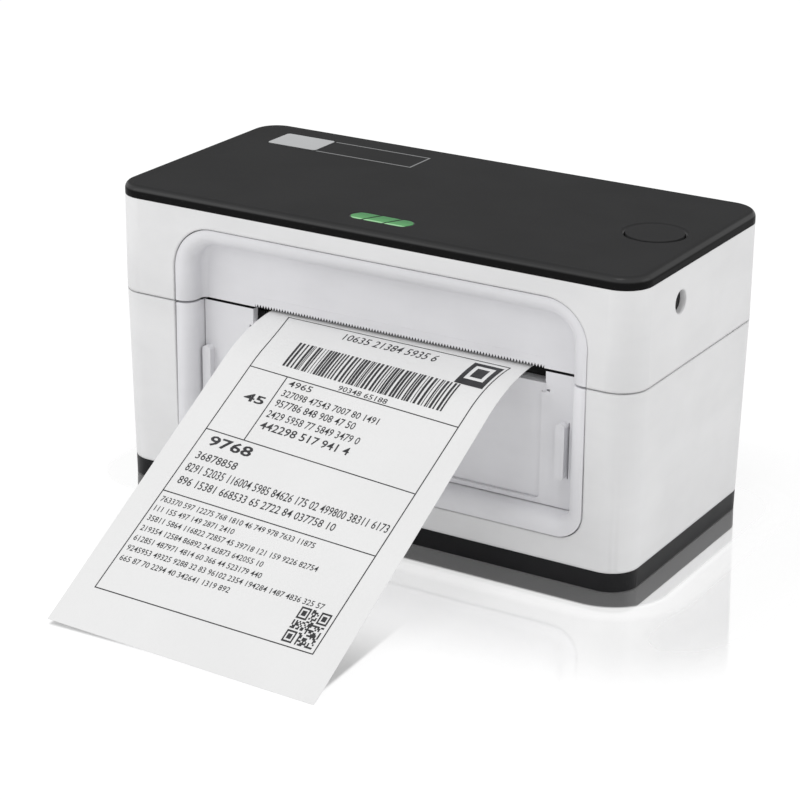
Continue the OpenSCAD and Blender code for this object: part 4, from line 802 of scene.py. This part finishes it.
class PRINTER_OT_printed_label(bpy.types.Operator):
    """Build the hanging label and its generic print"""
    bl_idname = "printer.printed_label"
    bl_label = "Printed Label"

    def execute(self, context):
        shape = context.scene.printer_label
        shades = context.scene.printer_colours
        points, faces, flat = label_surface(shape)
        sheet = new_piece("label_paper", points, faces, paper("label_stock", shades.paper),
                          "label")
        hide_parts("label_sheet")
        flat_points, flat_faces = self.print_layout(shape)
        side, run = turned(*settled(shape, *flat_points.T), shape.print_skew)
        lift = shape.thickness + 0.00005
        lifted = label_point(shape, side + shape.print_right, run + shape.print_down, lift)
        ink = new_piece("label_print", lifted, flat_faces, thermal_ink("thermal_ink", shades.ink),
                        "label")
        return {"FINISHED"}

    def print_layout(self, shape):
        """Flat points and faces of the print, in metres from its middle: right, and down the sheet.

        Its own numbers are in millimetres, apart from the weights of the figures.
        """
        random = np.random.default_rng(shape.seed)
        points, faces = [], []
        step_across, step_down = 0.004, 0.0016

        def add(flat, polygons):
            start = sum(len(p) for p in points)
            points.append(flat)
            faces.extend([[start + k for k in f] for f in polygons])

        def add_boxes(low_x, low_y, high_x, high_y):
            edges = np.stack(np.broadcast_arrays(*np.atleast_1d(low_x, low_y, high_x, high_y)), -1)
            for x0, y0, x1, y1 in edges.astype(float) * MM:
                x = np.linspace(x0, x1, 1 + math.ceil((x1 - x0) / step_across))
                y = np.linspace(y0, y1, 1 + math.ceil((y1 - y0) / step_down))
                flat = np.stack(np.meshgrid(x, y), -1).reshape(-1, 2)
                add(flat, grid_faces(len(y), len(x))[:, ::-1].tolist())

        half = shape.print_width / MM / 2
        line = shape.line / MM
        top, rule_1, rule_2, rule_3, bottom = -67.7, -36.3, -6.3, 21.6, 64.0
        for x in (-half, half):
            add_boxes(x - line / 2, top, x + line / 2, bottom)
        for y in (top, rule_1, rule_2, rule_3, bottom):
            add_boxes(-half - line / 2, y - line / 2, half + line / 2, y + line / 2)
        column_rule = -27.8
        add_boxes(column_rule - line / 2, rule_1, column_rule + line / 2, rule_2)

        # The bar pattern: every other module is a bar.
        bars_left, bars_width, bars_top, bars_bottom = -32.8, 68.4, -53.5, -40.4
        widths = random.integers(1, 4, shape.bars)
        edges = np.concatenate([[0], np.cumsum(widths)])
        edges = bars_left + bars_width * edges / edges[-1]
        add_boxes(edges[0:-1:2], bars_top, edges[1::2][:len(edges[0:-1:2])], bars_bottom)

        # The plain square: the four sides of its frame, and its middle.
        add_boxes([31.8, 31.8, 31.8, 41.4], [-66.2, -64.6, -56.8, -64.6], [43.3, 33.7, 43.3, 43.3],
                  [-64.6, -56.8, -53.8, -56.8])
        add_boxes(35.2, -63.2, 39.9, -58.2)

        # The rows of figures: left end, middle height, width, height, pitch as a share of it, weight.
        plain, strong = 0.004, 0.022
        rows = [
            (-19.4, -63.2, 38.2, 4.3, 0.50, plain), (-6.6, -38.0, 20.6, 2.2, 0.85, plain),
            (-38.8, -23.6, 8.8, 3.6, 1.10, strong), (-25.6, -33.9, 10.0, 2.7, 1.00, plain),
            (-25.6, -29.3, 41.2, 2.9, 0.56, plain), (-25.6, -24.7, 34.1, 3.2, 0.52, plain),
            (-25.9, -19.5, 39.4, 3.2, 0.52, plain), (-25.6, -14.3, 37.9, 3.4, 0.70, strong / 2),
            (-40.2, -2.4, 18.5, 4.4, 1.05, strong), (-41.2, 4.6, 17.5, 3.2, 0.66, plain),
            (-41.9, 10.1, 85.0, 3.5, 0.46, plain), (-41.5, 15.8, 66.2, 3.3, 0.54, plain),
            (-42.9, 24.8, 64.8, 2.3, 0.60, plain), (-42.9, 28.9, 33.9, 2.3, 0.60, plain),
            (-42.9, 33.1, 71.0, 2.3, 0.60, plain), (-42.9, 37.5, 51.4, 2.3, 0.60, plain),
            (-42.9, 41.8, 53.5, 2.3, 0.60, plain), (-42.9, 46.1, 81.2, 2.3, 0.60, plain),
            (-42.9, 50.5, 45.9, 2.3, 0.60, plain),
        ]
        for left, middle, width, height, pitch, weight in rows:
            text = number_line(random, width, height, pitch)
            add(*numerals(text, left * MM, middle * MM, width * MM, height * MM, weight))

        # The square code: random cells, with a ringed square and its pale margin in three corners.
        code_left, code_top, code_width, code_height = 31.0, 48.1, 11.9, 14.5
        count, corner = shape.cells, 8
        wide, tall = code_width / count, code_height / count
        dark = random.random((count, count)) < 0.5
        steps = np.arange(corner) - 3
        mark = np.isin(np.maximum(*np.abs(np.meshgrid(steps, steps))), (0, 1, 3))
        dark[:corner, :corner] = mark
        dark[:corner, -corner:] = mark[:, ::-1]
        dark[-corner:, :corner] = mark[::-1]
        row, column = np.nonzero(dark)
        left, upper = code_left + column * wide, code_top + row * tall
        add_boxes(left, upper, left + wide, upper + tall)
        return np.concatenate(points), faces


class PRINTER_OT_studio(bpy.types.Operator):
    """Set the camera, the lamps, the world and the pale floor"""
    bl_idname = "printer.studio"
    bl_label = "Studio"

    def execute(self, context):
        scene = context.scene
        studio = scene.printer_studio
        scene.view_settings.view_transform = "Standard"
        self.camera(scene, studio)
        for name, place, aim, size, power in (
            ("front_lamp", (-0.95, -1.0, 0.8), (0.0, -0.05, 0.05), 1.0, studio.key),
            ("right_lamp", (1.55, 0.60, 0.6), (0.05, -0.05, 0.05), 1.0, studio.side),
            ("top_lamp", (0.05, -0.45, 1.45), (0.0, -0.05, 0.08), 0.4, studio.top),
        ):
            self.lamp(scene, name, place, aim, size, power)
        self.world(scene, studio)
        self.floor(scene, studio)
        return {"FINISHED"}

    def camera(self, scene, studio):
        """A camera whose axes come from azimuth, elevation and roll, at its fixed place."""
        az, el, roll = studio.azimuth, studio.elevation, studio.roll
        back = np.array([math.sin(az) * math.cos(el), -math.cos(az) * math.cos(el), math.sin(el)])
        right = np.cross(-back, [0.0, 0.0, 1.0])
        right /= np.linalg.norm(right)
        up = np.cross(back, right)
        data = bpy.data.cameras.new("photo_camera")
        data.lens = studio.lens
        data.sensor_width = 36.0
        data.clip_start = 0.05
        item = bpy.data.objects.new("photo_camera", data)
        pose = np.eye(4)
        pose[:3, 0] = right * math.cos(roll) + up * math.sin(roll)
        pose[:3, 1] = up * math.cos(roll) - right * math.sin(roll)
        pose[:3, 2] = back
        pose[:3, 3] = studio.place
        item.matrix_world = Matrix(pose.tolist())
        scene.collection.objects.link(item)
        scene.camera = item

    def lamp(self, scene, name, place, aim, size, power):
        """A square soft box at a place that faces a point."""
        data = bpy.data.lights.new(name, "AREA")
        data.size = size
        data.energy = power
        item = bpy.data.objects.new(name, data)
        back = np.subtract(place, aim)
        back = back / np.linalg.norm(back)
        right = np.cross([0.0, 0.0, 1.0], back)
        right /= np.linalg.norm(right)
        pose = np.eye(4)
        pose[:3, 0], pose[:3, 1], pose[:3, 2], pose[:3, 3] = right, np.cross(back, right), back, place
        item.matrix_world = Matrix(pose.tolist())
        scene.collection.objects.link(item)

    def world(self, scene, studio):
        """White where the camera, a gloss or a clear surface sees it, and soft light elsewhere."""
        world = bpy.data.worlds.new("studio_world")
        scene.world = world
        world.use_nodes = True
        path = Wire(world.node_tree).node("LightPath")
        outputs = path.socket.node.outputs
        seen = Wire(world.node_tree, outputs["Is Camera Ray"])
        for name in ("Is Glossy Ray", "Is Transmission Ray"):
            seen = seen.math("MAXIMUM", seen, Wire(world.node_tree, outputs[name]))
        level = studio.ambient + seen * (1.0 - studio.ambient)
        back = world.node_tree.nodes["Background"]
        back.inputs["Color"].default_value = (1.0, 1.0, 1.0, 1.0)
        world.node_tree.links.new(level.socket, back.inputs["Strength"])

    def floor(self, scene, studio):
        """A white floor that keeps the shadow, with painted shade near the base and a painted shadow under
        the label, and mirrors near the base.
        """
        half = 4.0
        mesh = bpy.data.meshes.new("studio_floor")
        mesh.from_pydata([(-half, -half, 0.0), (half, -half, 0.0), (half, half, 0.0), (-half, half, 0.0)],
                         [], [(0, 1, 2, 3)])
        made = material("pale_floor", {"Emission Strength": 1.0, "Specular IOR Level": 0.0},
                        lambda spot: self.floor_shades(spot, studio.floor_glow))
        tree = made.node_tree
        spot = Wire(tree).node("TexCoord", out="Object")
        mirror = spot.node("BsdfPrincipled", None,
                           {"Base Color": (0.97, 0.97, 0.97, 1.0), "Metallic": 1.0, "Roughness": 0.05})
        matt = Wire(tree, tree.nodes["Principled BSDF"].outputs[0])
        share = self.mirror_share(spot, studio.floor_gloss)
        both = spot.node("MixShader", None, {0: share, 1: matt, 2: mirror})
        tree.links.new(both.socket, tree.nodes["Material Output"].inputs["Surface"])
        mesh.materials.append(made)
        item = bpy.data.objects.new("studio_floor", mesh)
        scene.collection.objects.link(item)

    def floor_distance(self, spot):
        """How far a place on the floor is from the base's outline, a rectangle with round corners."""
        high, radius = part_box("base_tray")[1], 0.011
        sums = 0.0
        for axis, reach in (("X", high.x - radius), ("Y", high.y - radius)):
            past = spot.axis(axis).size() - reach
            past = past.math("MAXIMUM", past, 0.0)
            sums = past * past + sums
        return sums.math("SQRT", sums) - radius

    def under_label(self, spot):
        """1 on the floor below the label's lower part, where a shadow is painted, and 0 elsewhere. The
        label is a little turned.
        """
        x, y = spot.axis("X"), spot.axis("Y")
        end_y, side_lean, end_lean = -0.172, 0.05, 0.03
        left, right, fade_start, fade_end, soft = -0.050, 0.0550, -0.155, -0.100, 0.002
        side = x + (y - end_y) * side_lean
        strip = side.band(right, right + soft, 1.0, 0.0) * side.band(left, left + soft)
        fade = y.band(fade_start, fade_end, 1.0, 0.0)
        return strip * fade * (y - x * end_lean).band(end_y, end_y + soft)

    def floor_shades(self, spot, glow):
        """What varies over the floor: its own shade and glow in view, with painted shade near the base and
        a painted shadow under the label, and a pale shade for its light.
        """
        near_shade, far_shade, label_shadow_shade, far_gain, bounce = 0.37, 0.20, 0.67, 1.27, 0.88
        far_start, far_end = 0.045, 0.085
        seen = spot.node("LightPath", out="Is Camera Ray")
        # Painted shade: near the base the floor glows less and takes more diffuse shade, so the real shade
        # shows there. Farther off, more glow washes it out.
        far = self.floor_distance(spot).band(far_start, far_end)
        # Painted shadow: under the label the floor gets no glow and more diffuse shade, so the real shadow
        # there shows deeper.
        below = self.under_label(spot)
        pale = below.blend(far.blend([near_shade] * 3, [far_shade] * 3), [label_shadow_shade] * 3)
        lit = below.blend(far.blend([glow] * 3, [glow * far_gain] * 3), [0.0] * 3)
        return {
            "Base Color": seen.blend([bounce] * 3, pale),
            "Roughness": 0.6 + spot.noise(3.0, detail=2.0) * 0.2,
            "Emission Color": seen.blend([0.0] * 3, lit),
        }

    def mirror_share(self, spot, gloss):
        """Share of the floor that mirrors: most by the base, more on its right, none far from it.

        The bands are distances from the base, apart from the right side's, which is across.
        """
        edge, step, end = (0.0105, 0.0125), (0.018, 0.024), (0.030, 0.085)
        right_side, right_edge = (0.105, 0.150), (0.0125, 0.0145)
        past_edge, past_step, at_right = 0.18, 0.14, 0.45
        beyond = self.floor_distance(spot)
        share = beyond.band(*edge, gloss, past_edge) + beyond.band(*step, 0.0, past_step)
        share = share + spot.axis("X").band(*right_side) * beyond.band(*right_edge, 0.0, at_right)
        return share * beyond.band(*end, 1.0, 0.0) * spot.node("LightPath", out="Is Camera Ray")


STEPS = (
    PRINTER_OT_studio, PRINTER_OT_white_shell, PRINTER_OT_dark_shell, PRINTER_OT_rubber_parts,
    PRINTER_OT_metal_parts, PRINTER_OT_head_springs, PRINTER_OT_badge, PRINTER_OT_drive_parts,
    PRINTER_OT_circuit, PRINTER_OT_status_lenses, PRINTER_OT_printed_label,
)
GROUPS = {
    "printer_colours": FinishColours, "printer_label": LabelShape,
    "printer_springs": SpringShape, "printer_studio": Studio,
}


class PRINTER_PT_looks(bpy.types.Panel):
    """Lists the printer's steps in the 3D view's sidebar"""
    bl_label = "Label Printer"
    bl_idname = "PRINTER_PT_looks"
    bl_space_type = "VIEW_3D"
    bl_region_type = "UI"
    bl_category = "Printer"

    def draw(self, context):
        for step in STEPS:
            self.layout.operator(step.bl_idname)
        for group in GROUPS:
            values = getattr(context.scene, group)
            for name in values.__annotations__:
                self.layout.prop(values, name)


CLASSES = (*GROUPS.values(), *STEPS, PRINTER_PT_looks)


def register():
    for item in CLASSES:
        bpy.utils.register_class(item)
    for name, group in GROUPS.items():
        setattr(bpy.types.Scene, name, PointerProperty(type=group))


def unregister():
    for name in reversed(GROUPS):
        delattr(bpy.types.Scene, name)
    for item in reversed(CLASSES):
        bpy.utils.unregister_class(item)


def main():
    """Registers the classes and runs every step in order."""
    register()
    for step in STEPS:
        group, name = step.bl_idname.split(".")
        getattr(getattr(bpy.ops, group), name)()


if __name__ == "__main__":
    main()
